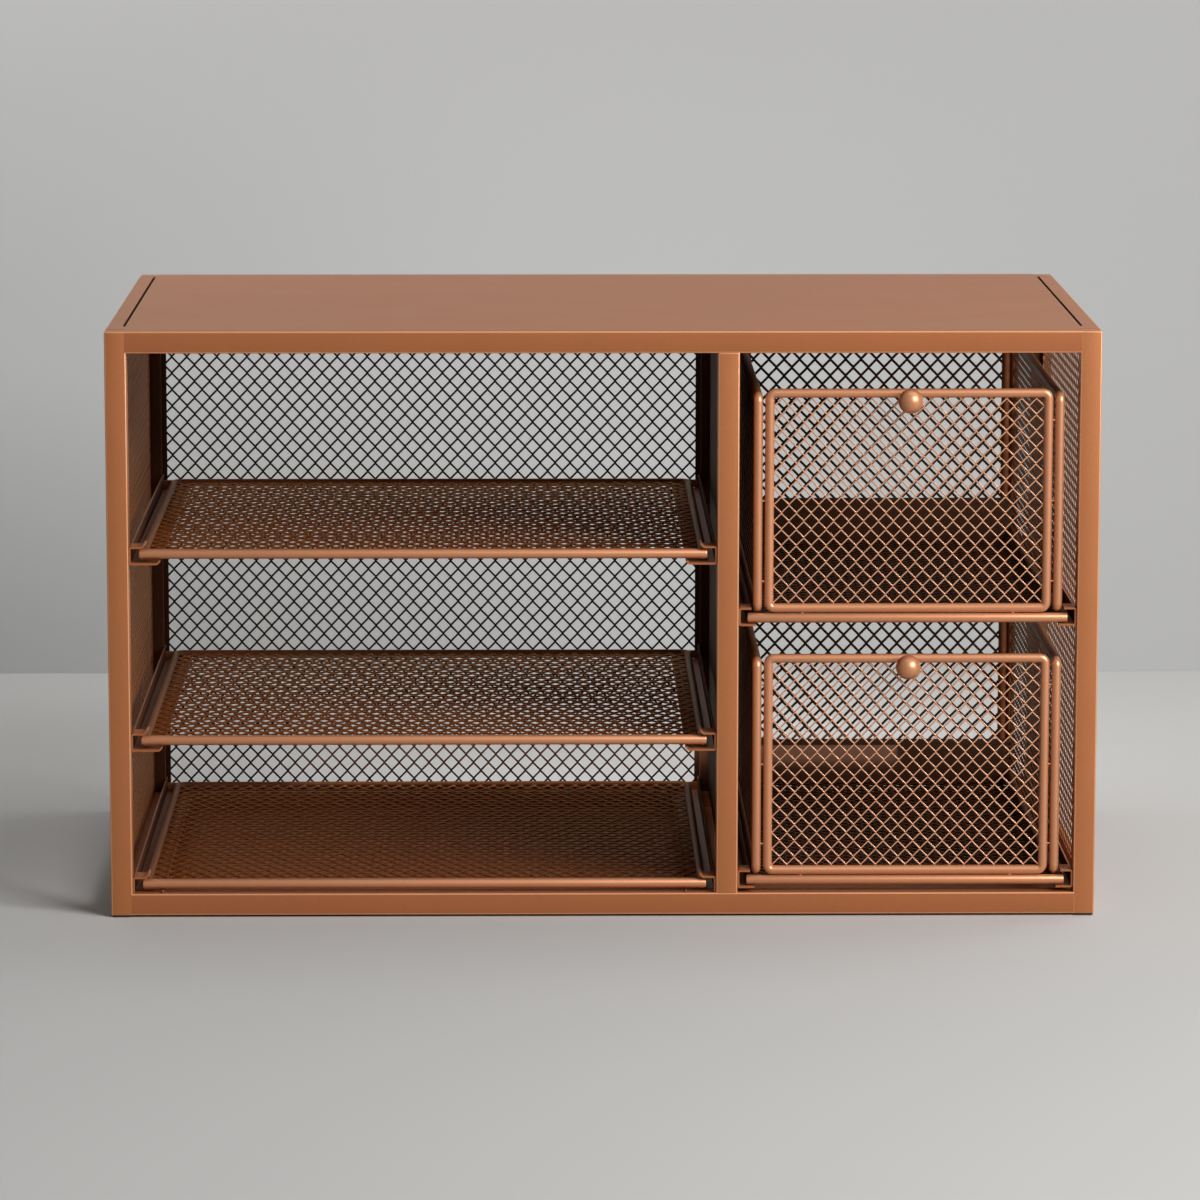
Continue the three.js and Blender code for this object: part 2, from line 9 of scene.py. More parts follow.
import bmesh
import bpy
from bpy.props import FloatProperty, FloatVectorProperty, IntProperty, PointerProperty
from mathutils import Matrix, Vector

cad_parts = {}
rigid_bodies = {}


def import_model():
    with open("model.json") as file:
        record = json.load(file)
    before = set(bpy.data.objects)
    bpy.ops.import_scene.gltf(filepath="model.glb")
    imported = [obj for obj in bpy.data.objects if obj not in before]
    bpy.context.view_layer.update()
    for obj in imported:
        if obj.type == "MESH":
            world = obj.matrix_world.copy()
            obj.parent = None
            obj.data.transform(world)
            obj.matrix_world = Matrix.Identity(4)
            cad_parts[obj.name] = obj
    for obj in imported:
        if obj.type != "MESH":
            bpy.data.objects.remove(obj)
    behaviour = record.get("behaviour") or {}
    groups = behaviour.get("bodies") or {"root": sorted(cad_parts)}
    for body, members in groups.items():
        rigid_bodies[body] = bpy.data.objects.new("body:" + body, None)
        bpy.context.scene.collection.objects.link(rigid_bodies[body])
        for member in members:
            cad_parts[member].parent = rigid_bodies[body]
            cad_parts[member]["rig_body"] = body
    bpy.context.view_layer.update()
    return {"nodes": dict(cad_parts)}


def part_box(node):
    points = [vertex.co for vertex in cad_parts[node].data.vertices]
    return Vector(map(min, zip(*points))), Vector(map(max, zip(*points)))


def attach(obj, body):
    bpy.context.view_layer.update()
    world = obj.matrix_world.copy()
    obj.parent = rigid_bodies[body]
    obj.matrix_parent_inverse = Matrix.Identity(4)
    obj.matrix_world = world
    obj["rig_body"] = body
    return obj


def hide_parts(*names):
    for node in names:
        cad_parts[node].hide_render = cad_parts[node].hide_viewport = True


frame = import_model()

bl_info = {
    "name": "Mesh Desk Organizer",
    "version": (1, 0, 0),
    "blender": (4, 5, 0),
    "location": "3D View > Sidebar > Organizer",
    "description": "Models a welded desk organizer with sliding mesh trays and mesh drawers",
    "category": "Add Mesh",
}

X, Y, Z = 0, 1, 2
MM = 0.001
CLOSE = 1e-5
# The gap that the frame keeps at a weld, which the pieces reach over
FIT = 0.3 * MM
# How far sheets and nets are let in to what they are welded to
WELD_LAP = 0.8 * MM
QUARTER_TURN = math.pi / 2
SMOOTH_ANGLE = math.radians(40)
STRAND_SMOOTH_ANGLE = math.radians(65)
# The frame's rods are eight-sided, so they reach a little less far than round ones
FACET = math.cos(math.pi / 8)

CORNERS = ("front_left", "front_right", "back_left", "back_right")
TRAYS = ("tray_top", "tray_middle", "tray_bottom")
DRAWERS = ("drawer_upper", "drawer_lower")
# How far from a rod's middle a weld starts, as a share of the rod's thickness: a little under its skin
SUNK = 0.3
# How a ring or a cylinder is turned to lie along X
ALONG_X = (0, QUARTER_TURN, 0)
# How a flat piece, modelled in its own XY, is turned to face the front, a side or the floor
FACING = {"front": (QUARTER_TURN, 0, 0), "side": (QUARTER_TURN, 0, QUARTER_TURN), "floor": (0, 0, 0)}


def linear(hex_colour):
    """The linear colour of an sRGB hex value."""
    channels = [int(hex_colour[i:i + 2], 16) / 255 for i in (0, 2, 4)]
    return tuple(c / 12.92 if c <= 0.04045 else ((c + 0.055) / 1.055) ** 2.4 for c in channels)


def length(name, description, millimetres):
    return FloatProperty(
        name=name, description=description, default=millimetres * MM,
        min=0, precision=5, unit="LENGTH", subtype="DISTANCE")


def pitch(name, description, across, up):
    return FloatVectorProperty(
        name=name, description=description, default=(across * MM, up * MM),
        size=2, min=0, precision=5, unit="LENGTH", subtype="XYZ_LENGTH")


def colour(name, description, hex_colour):
    return FloatVectorProperty(
        name=name, description=description, default=linear(hex_colour), size=3, min=0, max=1, subtype="COLOR")


def lamp_power(name, where, watts):
    return FloatProperty(name=name, description=f"Watts of the lamp {where}", default=watts, min=0)


class OrganizerSizes(bpy.types.PropertyGroup):
    tube_corner: length("Tube corner", "Radius on the edges of the square tube and of the folds", 0.8)
    tube_wall: length("Tube wall", "Wall of the square tube", 1)
    sheet: length("Sheet", "Thickness of the panels and runners", 1)
    ground_flush: length("Ground flush", "How far the posts lie behind the rails welded over them", 0.12)
    slot_front: length("Slot front", "From the front face to where the slots in the top begin", 25)
    slot_rear: length("Slot rear", "From the rear face to where the slots in the top end", 13)
    slot_width: length("Slot width", "Width of the slots in the top", 1.4)
    slot_depth: length("Slot depth", "How far down a folded lip closes the slots in the top", 5)
    carrier_rod: length("Carrier rod", "Diameter of the rods that run on the runners", 5.4)
    tray_side_rod: length("Tray side rod", "Diameter of a tray's bent rod", 4.4)
    wall_rod: length("Wall rod", "Diameter of the rods round the drawers' walls", 5)
    tray_bend: length("Tray bend", "Radius at the middle of a tray's bent rod", 5)
    base_bend: length("Base bend", "Radius at the middle of a drawer's base rod", 6)
    wall_bend: length("Wall bend", "Radius at the middle of the rods round the drawers' walls", 2.9)
    front_clearance: length("Front clearance", "From a drawer's front loop to the side loops beside it", 1.2)
    rear_rise: length("Rear rise", "How much taller a drawer's rear loop is drawn than its node", 0.9)
    blunt_end: length("Blunt end", "Radius on the ends of the straight rods", 0.8)
    strand_width: length("Strand width", "Width of a strand of expanded mesh", 0.8)
    strand_depth: length("Strand depth", "Thickness of a strand of expanded mesh", 0.75)
    thin_depth: length("Thin depth", "Thickness of a strand of the meshes that stand edge-on", 0.6)
    tray_strand_width: length("Tray strand width", "Width of a strand of a tray's mesh", 1.0)
    tray_strand_depth: length("Tray strand depth", "Thickness of a strand of a tray's mesh", 1.15)
    floor_depth: length("Floor depth", "Thickness of a strand of the mesh under a drawer", 1.15)
    back_strand: length("Back strand", "Width of a strand in the mesh behind the trays", 1.15)
    heavy_strand: length("Heavy strand", "Width of a strand in the drawers' rear mesh", 1.5)
    bond: length("Bond", "How far two strands lie apart where they are joined", 0.45)
    wave: length("Wave", "How far the strands stand out of their plane", 0.16)
    cabinet_pitch: pitch("Cabinet pitch", "Diamonds of the cabinet's meshes", 8.9, 9.8)
    tray_pitch: pitch("Tray pitch", "Diamonds of the trays' meshes", 8.1, 14.4)
    drawer_pitch: pitch("Drawer pitch", "Diamonds of the drawers' front, side and floor meshes", 8.1, 8.9)
    rear_pitch: pitch("Rear pitch", "Diamonds of the drawers' rear meshes", 9.1, 9.9)
    # The strip at the foot of a drawer's rear mesh is a dark sheet of painted shade
    hem: length("Hem", "Height of the plain strip at the foot of a drawer's rear mesh", 26)
    net_border: length("Net border", "Width of the strip round the cabinet's meshes", 2.6)
    runner_height: length("Runner height", "Height of a runner's web", 10)
    runner_lip: length("Runner lip", "How far the lips of a tray's runners slope up and in", 1.7)
    runner_bend: length("Runner bend", "Radius on the folds of a runner", 1.2)
    top_flange: length("Top flange", "Width of a runner's top flange", 6.5)
    front_tab: length("Front tab", "Length of a runner's top flange, which is only a tab at its front", 14)
    stop_height: length("Stop height", "Height of the stop at the rear end of a runner", 6)
    rod_sides: IntProperty(name="Rod sides", description="Facets round a rod", default=20, min=8)
    bend_steps: IntProperty(name="Bend steps", description="Facets along a rod's bend", default=8, min=3)


class OrganizerColours(bpy.types.PropertyGroup):
    paint: colour("Paint", "Copper powder coat on rails and sheet", "A46139")
    # The posts' colour is the rails' copper made lighter: painted light
    post_paint: colour("Post paint", "Copper powder coat on the posts", "AA673D")
    # A lighter copper on all rounded edges: a painted highlight
    edge_highlight_paint: colour("Edge paint", "The same coat, thin and burnished, on rounded edges", "D9976C")
    # A darker, matt copper on faces deep inside: painted shade
    inner_shade_paint: colour("Inner paint", "Thin, matt coat on faces deep inside", "4A2A18")
    rod_paint: colour("Rod paint", "Copper coat on the rods in front and the knobs", "C88862")
    # A darker copper on the rods inside: painted shade
    inner_rod_shade_paint: colour("Inner rod paint", "Copper coat on the rods inside", "75452A")
    # A brighter copper on the drawers' front meshes: painted light
    front_mesh_paint: colour("Front mesh paint", "Bright coat on the mesh in the drawers' fronts", "DCA482")
    side_mesh_paint: colour("Side mesh paint", "Copper coat on the mesh in the cabinet's sides", "AE6E44")
    # A browner copper on the drawers' side meshes: painted shade
    drawer_side_shade_paint: colour("Drawer side paint", "Brown coat on the mesh in the drawers' sides", "6B3B20")
    floor_mesh_paint: colour("Floor mesh paint", "Copper coat on the mesh of the trays", "96582A")
    # A near-black brown on the meshes at the rear and under the drawers: painted shade
    rear_mesh_paint: colour("Rear mesh paint", "Dark bronze coat on the mesh at the rear", "3A2013")
    rubber: colour("Rubber", "Moulded feet", "1C1A19")
    floor: colour("Floor", "Pale studio floor", "B8B7B5")
    backdrop: colour("Backdrop", "Pale wall behind the organizer", "A5A5A4")


class OrganizerStage(bpy.types.PropertyGroup):
    camera_place: FloatVectorProperty(
        name="Camera place", description="Where the camera stands", default=(-0.0447, -3.1461, 0.6644),
        unit="LENGTH", subtype="XYZ_LENGTH")
    camera_turn: FloatVectorProperty(
        name="Camera turn", description="Pitch, roll and yaw of the camera",
        default=tuple(math.radians(a) for a in (80.765, -0.047, -0.808)), unit="ROTATION", subtype="EULER")
    lens: FloatProperty(name="Lens", description="Focal length in millimetres", default=167.67, min=1)
    key_power: lamp_power("Key power", "at the upper right", 111)
    top_power: lamp_power("Top power", "overhead", 5.5)
    rear_power: lamp_power("Rear power", "behind, at the right", 6)
    fill_power: lamp_power("Fill power", "before it", 6)
    wash_power: lamp_power("Wash power", "on the left of the wall", 3.3)
    backdrop_power: lamp_power("Backdrop power", "behind it, on the wall", 0.68)
    sky: FloatProperty(name="Sky", description="Strength of the even light all round", default=0.03, min=0)


def clear_selection():
    bpy.ops.object.select_all(action="DESELECT")


def begin(name, add, stretch=(1, 1, 1), **settings):
    """Adds a primitive, stretches it along its own axes, puts its place into its mesh and opens it for editing."""
    clear_selection()
    add(**settings)
    made = bpy.context.object
    made.name = name
    made.data.name = name
    made.scale = stretch
    bpy.ops.object.transform_apply(location=True, rotation=True, scale=True)
    bpy.ops.object.mode_set(mode="EDIT")
    bpy.ops.mesh.select_mode(type="EDGE")
    bpy.ops.mesh.select_all(action="SELECT")
    return made


def middle(part):
    """The middle of an edge or a face."""
    return sum((v.co for v in part.verts), Vector()) / len(part.verts)


def runs_along(edge, axis):
    span = edge.verts[1].co - edge.verts[0].co
    return abs(span[axis]) > span.length - CLOSE


def lies_at(part, axis, place):
    """Whether the whole of an edge or a face lies at one place along an axis."""
    return all(abs(v.co[axis] - place) < CLOSE for v in part.verts)


def along(axis):
    """A test for the edges that run along an axis."""
    return lambda edge: runs_along(edge, axis)


def at(axis, *places):
    """A test for the edges or faces that lie wholly at one of the places along an axis."""
    return lambda part: any(lies_at(part, axis, place) for place in places)


def pick(kind, test):
    """In edit mode, selects only the parts of a kind, VERT, EDGE or FACE, that pass the test."""
    bpy.ops.mesh.select_mode(type=kind)
    bpy.ops.mesh.select_all(action="DESELECT")
    mesh = bpy.context.edit_object.data
    body = bmesh.from_edit_mesh(mesh)
    parts = {"VERT": body.verts, "EDGE": body.edges, "FACE": body.faces}[kind]
    found = [part for part in parts if test(part)]
    if not found:
        raise RuntimeError(f"{mesh.name} has nothing of kind {kind} to select")
    for part in found:
        part.select_set(True)
    body.select_flush_mode()
    bmesh.update_edit_mesh(mesh)


def remove(kind, test):
    """In edit mode, deletes the parts of a kind that pass the test."""
    pick(kind, test)
    bpy.ops.mesh.delete(type=kind)


def extrude(x=0.0, y=0.0, z=0.0):
    bpy.ops.mesh.extrude_region_move(TRANSFORM_OT_translate={"value": (x, y, z)})


def round_edges(test, radius, segments=4):
    pick("EDGE", test)
    bpy.ops.mesh.bevel(offset=radius, segments=segments, affect="EDGES")


def cut(place, normal, keep_all=True):
    """Cuts the whole mesh along a plane. With keep_all off, what is beyond the plane goes and the cut is closed."""
    bpy.ops.mesh.select_all(action="SELECT")
    bpy.ops.mesh.bisect(plane_co=place, plane_no=normal, use_fill=not keep_all, clear_outer=not keep_all)


def face_outwards():
    bpy.ops.mesh.select_all(action="SELECT")
    bpy.ops.mesh.normals_make_consistent(inside=False)


def face_sheet(is_known, axis, sign):
    """Makes the faces of an open sheet agree, with the known face turned to that side of the axis."""
    face_outwards()
    body = bmesh.from_edit_mesh(bpy.context.edit_object.data)
    known = next(face for face in body.faces if is_known(face))
    if known.normal[axis] * sign < 0:
        bpy.ops.mesh.flip_normals()


def leave_edit():
    if bpy.context.mode != "OBJECT":
        bpy.ops.object.mode_set(mode="OBJECT")


def only(piece):
    """Leaves edit mode with this piece alone selected and active."""
    leave_edit()
    clear_selection()
    piece.select_set(True)
    bpy.context.view_layer.objects.active = piece


def modify(piece, kind, **settings):
    """Adds a modifier with its settings and applies it."""
    only(piece)
    modifier = piece.modifiers.new(kind.title(), kind)
    for field, value in settings.items():
        setattr(modifier, field, value)
    bpy.ops.object.modifier_apply(modifier=modifier.name)


def place_at(piece, where, turn=(0, 0, 0)):
    """Turns and moves a piece modelled about the origin, and puts its place into its mesh."""
    only(piece)
    piece.rotation_euler = turn
    piece.location = where
    bpy.ops.object.transform_apply(location=True, rotation=True, scale=True)


def joined(pieces):
    """Makes the pieces one object, which keeps the name of the first."""
    only(pieces[0])
    for piece in pieces:
        piece.select_set(True)
    bpy.ops.object.join()
    return pieces[0]


def settle(piece, finish, slot, *nodes, angle=SMOOTH_ANGLE, accents=()):
    """Gives a finished piece its material, smooths it, and lets it ride in place of its nodes.

    Each accent is a second finish, with the test that its faces pass.
    """
    only(piece)
    bpy.ops.object.shade_smooth_by_angle(angle=angle)
    piece.data.materials.clear()
    piece.data.materials.append(finish)
    for accent, test in accents:
        piece.data.materials.append(accent)
        piece.active_material_index = len(piece.data.materials) - 1
        bpy.ops.object.mode_set(mode="EDIT")
        pick("FACE", test)
        bpy.ops.object.material_slot_assign()
        leave_edit()
    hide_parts(*nodes)
    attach(piece, frame["nodes"][nodes[0]]["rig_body"])


def box_of(node):
    low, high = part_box(node)
    return Vector(low), Vector(high)


def middle_of(node):
    """The middle of a node's box, and its size."""
    low, high = box_of(node)
    return (low + high) / 2, high - low


def material(name):
    """A new node material, with its node tree, its Principled shader and the place of a spot on the object."""
    made = bpy.data.materials.new(name)
    made.use_nodes = True
    tree = made.node_tree
    shader = next(n for n in tree.nodes if n.type == "BSDF_PRINCIPLED")
    return made, tree, shader, add_node(tree, "ShaderNodeTexCoord").outputs["Object"]


def set_inputs(tree, node, inputs):
    """Sets or links inputs of a node."""
    for socket, value in inputs.items():
        if isinstance(value, bpy.types.NodeSocket):
            tree.links.new(value, node.inputs[socket])
        else:
            node.inputs[socket].default_value = value


def add_node(tree, kind, inputs=None, **settings):
    """Adds a node, sets its fields, and sets or links its inputs."""
    made = tree.nodes.new(kind)
    for field, value in settings.items():
        setattr(made, field, value)
    set_inputs(tree, made, inputs or {})
    return made


def shaded(base, factor):
    return tuple(min(1.0, c * factor) for c in base) + (1.0,)


def toned(tree, noise, base, dark, light):
    """A colour that wanders between two shades of a base."""
    return add_node(
        tree, "ShaderNodeMix", {0: noise.outputs["Fac"], 6: shaded(base, dark), 7: shaded(base, light)},
        data_type="RGBA").outputs[2]


def powder_coat(name, base, coat):
    """Powder coat on steel: a satin skin with fine orange peel, bright flake and slow drifts of tone."""
    made, tree, shader, place = material(name)
    # The tone drifts by a fortieth over some 45 mm, and the roughness with it
    drift = add_node(
        tree, "ShaderNodeTexNoise", {"Vector": place, "Scale": 1 / (45 * MM), "Detail": 3.0, "Roughness": 0.5})
    rubbed = add_node(
        tree, "ShaderNodeMapRange",
        {"Value": drift.outputs["Fac"], "From Min": 0.3, "From Max": 0.7,
         "To Min": coat.roughness - 0.015, "To Max": coat.roughness + 0.015})
    # Flake is about a twentieth of a millimetre across, and is drawn at 0.9 mm so that it shows
    flake = add_node(
        tree, "ShaderNodeTexNoise", {"Vector": place, "Scale": 1 / (0.9 * MM), "Detail": 2.0, "Roughness": 0.7})
    glint = add_node(
        tree, "ShaderNodeMapRange",
        {"Value": flake.outputs["Fac"], "From Min": 0.3, "From Max": 0.7,
         "To Min": 1 - coat.flake, "To Max": 1 + coat.flake})
    tinted = add_node(
        tree, "ShaderNodeMix", {0: 1.0, 6: toned(tree, drift, base, 0.975, 1.025), 7: glint.outputs["Result"]},
        data_type="RGBA", blend_type="MULTIPLY")
    # Orange peel: dimples 1.6 mm apart and a twentieth of a millimetre deep
    peel = add_node(
        tree, "ShaderNodeTexNoise", {"Vector": place, "Scale": 1 / (1.6 * MM), "Detail": 2.0, "Roughness": 0.55})
    bump = add_node(
        tree, "ShaderNodeBump", {"Strength": coat.peel, "Distance": 0.05 * MM, "Height": peel.outputs["Fac"]})
    set_inputs(tree, shader, {
        "Base Color": tinted.outputs[2], "Roughness": rubbed.outputs["Result"], "Normal": bump.outputs["Normal"],
        "Metallic": coat.metallic, "Coat Weight": coat.gloss, "Coat Roughness": 0.25,
        "Specular IOR Level": coat.specular, "Specular Tint": (1.0, 0.94, 0.74, 1.0)})
    return made


def moulded_rubber(name, base):
    """Moulded rubber: matt and nearly black, dusty on its high spots."""
    made, tree, shader, place = material(name)
    dust = add_node(
        tree, "ShaderNodeTexNoise", {"Vector": place, "Scale": 1 / (3 * MM), "Detail": 4.0, "Roughness": 0.6})
    bump = add_node(tree, "ShaderNodeBump", {"Strength": 0.3, "Distance": 0.1 * MM, "Height": dust.outputs["Fac"]})
    set_inputs(tree, shader, {
        "Base Color": toned(tree, dust, base, 0.8, 1.9), "Roughness": 0.82, "Normal": bump.outputs["Normal"]})
    return made


def studio_surface(name, base, one_sided):
    """Matt paper or board, with a faint mottle. One that is one-sided is seen only from its front."""
    made, tree, shader, place = material(name)
    mottle = add_node(tree, "ShaderNodeTexNoise", {"Vector": place, "Scale": 1 / 0.6, "Detail": 2.0})
    set_inputs(tree, shader, {
        "Base Color": toned(tree, mottle, base, 0.985, 1.015), "Roughness": 0.9, "Specular IOR Level": 0.2})
    if one_sided:
        rear = add_node(tree, "ShaderNodeNewGeometry").outputs["Backfacing"]
        clear = add_node(tree, "ShaderNodeBsdfTransparent")
        either = add_node(
            tree, "ShaderNodeMixShader", {0: rear, 1: shader.outputs["BSDF"], 2: clear.outputs["BSDF"]})
        output = next(n for n in tree.nodes if n.type == "OUTPUT_MATERIAL")
        tree.links.new(either.outputs["Shader"], output.inputs["Surface"])
    return made


def finish_named(name, make, *settings):
    """The material of that name, made the first time that it is asked for."""
    return bpy.data.materials.get(name) or make(name, *settings)


@dataclass(frozen=True)
class Coat:
    """How a coat of copper paint takes the light."""
    name: str
    roughness: float
    metallic: float
    peel: float
    flake: float
    gloss: float = 0.0
    specular: float = 0.5


# The coats, each under the name of the colour that it starts from
COATS = {
    # Powder-coated steel tube and sheet: even satin brown, with a warm metallic glow where the light glances off
    "paint": Coat("copper_powder_coat", 0.44, 0.35, 0.25, 0.05, gloss=0.1),
    # Powder coat on the upright tubes, painted a touch lighter than on the rails: a lit copy of the same coat, painted
    # light
    "post_paint": Coat("copper_powder_coat_posts", 0.44, 0.35, 0.25, 0.05, gloss=0.1),
    # A lighter coat on every rounded edge, which draws the crisp line of light along it: a painted highlight
    "edge_highlight_paint": Coat("burnished_copper_edge", 0.3, 0.55, 0.1, 0.04, gloss=0.3),
    # A darker, matt copy of the coat on the faces deep inside: painted shade
    "inner_shade_paint": Coat("copper_powder_coat_thin", 0.7, 0.1, 0.2, 0.04, specular=0.2),
    # The same coat on drawn rod: smoother and more metallic, so its highlight is a soft bright line
    "rod_paint": Coat("copper_rod_coat", 0.36, 0.55, 0.18, 0.05, gloss=0.22),
    # Drawn rod away from the front, painted browner and duller: painted shade
    "inner_rod_shade_paint": Coat("brown_rod_coat", 0.5, 0.4, 0.15, 0.05, specular=0.25),
    # Strands of cut and stretched sheet in the drawers' fronts, painted brighter than the coat on the other meshes:
    # painted light
    "front_mesh_paint": Coat("copper_front_mesh", 0.26, 0.65, 0.1, 0.06, gloss=0.15),
    # Copper coat on cut and stretched sheet
    "side_mesh_paint": Coat("copper_side_mesh", 0.32, 0.5, 0.1, 0.06),
    # A browner copy of the same sheet's coat, inside the drawers: painted shade
    "drawer_side_shade_paint": Coat("brown_side_mesh", 0.36, 0.5, 0.1, 0.06),
    # Cut and stretched sheet that carries things: dark, with glints of copper on the tops of its strands
    "floor_mesh_paint": Coat("copper_floor_mesh", 0.28, 0.8, 0.1, 0.08),
    # Dark paint on the mesh at the rear and under the drawers, nearly black against a pale wall: painted shade
    "rear_mesh_paint": Coat("bronze_rear_mesh", 0.5, 0.3, 0.1, 0.08, specular=0.25),
}


def coated(colour_name):
    """The material for a coat of that colour."""
    coat, colours = COATS[colour_name], bpy.context.scene.organizer_colours
    return finish_named(coat.name, powder_coat, getattr(colours, colour_name), coat)


def is_edge(face):
    """Whether a face belongs to a rounded edge and not to one of the flats."""
    return max(abs(part) for part in face.normal) < 0.99


def bar(name, low, high):
    """A bar between two corners, open for editing."""
    return begin(name, bpy.ops.mesh.primitive_cube_add, high - low, size=1, location=(low + high) / 2)


def open_bore(wall, depth):
    """Hollows a bar from its underside, as tube is."""
    floor = min(v.co.z for v in bmesh.from_edit_mesh(bpy.context.edit_object.data).verts)
    pick("FACE", at(Z, floor))
    bpy.ops.mesh.inset(thickness=wall, depth=0)
    extrude(z=depth)


class ORGANIZER_OT_posts(bpy.types.Operator):
    """Models the four corner posts and the two divider posts, of square tube that is closed on top"""
    bl_idname = "organizer.posts"
    bl_label = "Posts"

    def execute(self, context):
        sizes = context.scene.organizer_sizes
        radius = sizes.tube_corner
        flush = Vector((sizes.ground_flush,) * 3)
        for node in [f"post_{corner}" for corner in CORNERS] + ["divider_post_front", "divider_post_back"]:
            low, high = box_of(node)
            low, high = low + flush, high - flush
            if node.startswith("divider"):
                low.z -= radius
                high.z += radius
            post = bar(f"{node}_tube", low, high)
            round_edges(along(Z), radius)
            # The closed top is rounded a little less, to leave a flat rim at its corners
            round_edges(at(Z, high.z), 0.9 * radius, 3)
            open_bore(sizes.tube_wall, high.z - low.z - 2 * radius)
            # Rounded edges take the lighter edge coat: a painted highlight
            accents = [(coated("edge_highlight_paint"), is_edge)]
            if "back" in node:
                # Their front faces look into the cabinet, and take the dark inner coat: painted shade
                accents.append((coated("inner_shade_paint"), lambda face: face.normal.y < -0.1))
            settle(post, coated("post_paint"), "copper_paint", node, accents=accents)
        return {"FINISHED"}


class ORGANIZER_OT_feet(bpy.types.Operator):
    """Models the four rubber feet, each a pad with a plug that fits the bore of its post"""
    bl_idname = "organizer.feet"
    bl_label = "Feet"

    def execute(self, context):
        sizes = context.scene.organizer_sizes
        rubber = finish_named("moulded_rubber", moulded_rubber, context.scene.organizer_colours.rubber)
        edge_radius, rim_radius, plug_radius = 1.8 * MM, 0.4 * MM, 0.5 * MM
        for corner in CORNERS:
            node = f"foot_{corner}"
            low, high = box_of(node)
            post_low, _ = box_of(f"post_{corner}")
            head = Vector((high.x, high.y, post_low.z))
            foot = bar(f"{node}_pad", low, head)
            round_edges(along(Z), edge_radius)
            round_edges(at(Z, low.z), rim_radius, 2)
            pick("FACE", at(Z, head.z))
            bpy.ops.mesh.inset(thickness=sizes.tube_wall, depth=0)
            extrude(z=high.z - head.z)
            round_edges(at(Z, high.z), plug_radius, 2)
            settle(foot, rubber, "foot_rubber", node)
        return {"FINISHED"}


class ORGANIZER_OT_rails(bpy.types.Operator):
    """Models the bottom rails and the two narrow rails beside the slots in the top, lapped over the posts"""
    bl_idname = "organizer.rails"
    bl_label = "Rails"

    def execute(self, context):
        radius = context.scene.organizer_sizes.tube_corner
        cabinet_low, cabinet_high = box_of("post_front_left")[0], box_of("post_back_right")[1]
        # The lighter coat on the rounded edges is a painted highlight
        painted_highlight = (coated("edge_highlight_paint"), is_edge)
        for side in ("left", "right"):
            for level in ("top", "bottom"):
                node = f"rail_{level}_{side}"
                low, high = self.lapped(node, Y, radius)
                outer = high.x if side == "right" else low.x
                rail = bar(f"{node}_tube", low, high)
                if level == "bottom":
                    round_edges(along(Y), radius)
                    accents = [painted_highlight]
                else:
                    # The edge beside the slot stays sharp, and the face inside the slot takes the dark inner coat:
                    # painted shade
                    round_edges(
                        lambda edge: runs_along(edge, Y) and (lies_at(edge, X, outer) or lies_at(edge, Z, low.z)),
                        radius)
                    accents = [painted_highlight, (
                        coated("inner_shade_paint"), lambda face: face.normal.x * outer < 0 and not is_edge(face))]
                settle(rail, coated("paint"), "copper_paint", node, accents=accents)
        for end in ("front", "back"):
            node = f"rail_bottom_{end}"
            low, high = self.lapped(node, X, radius)
            low.y, high.y = max(low.y, cabinet_low.y), min(high.y, cabinet_high.y)
            rail = bar(f"{node}_tube", low, high)
            round_edges(along(X), radius)
            # The sawn ends only have their burr taken off
            round_edges(at(X, low.x, high.x), 0.1 * MM, 1)
            settle(rail, coated("paint"), "copper_paint", node, accents=[painted_highlight])
        return {"FINISHED"}

    def lapped(self, node, axis, radius):
        """A rail's box, with its ends moved over the rounded edges of the posts between which it is welded."""
        low, high = box_of(node)
        low[axis] -= FIT + radius
        high[axis] += FIT + radius
        return low, high


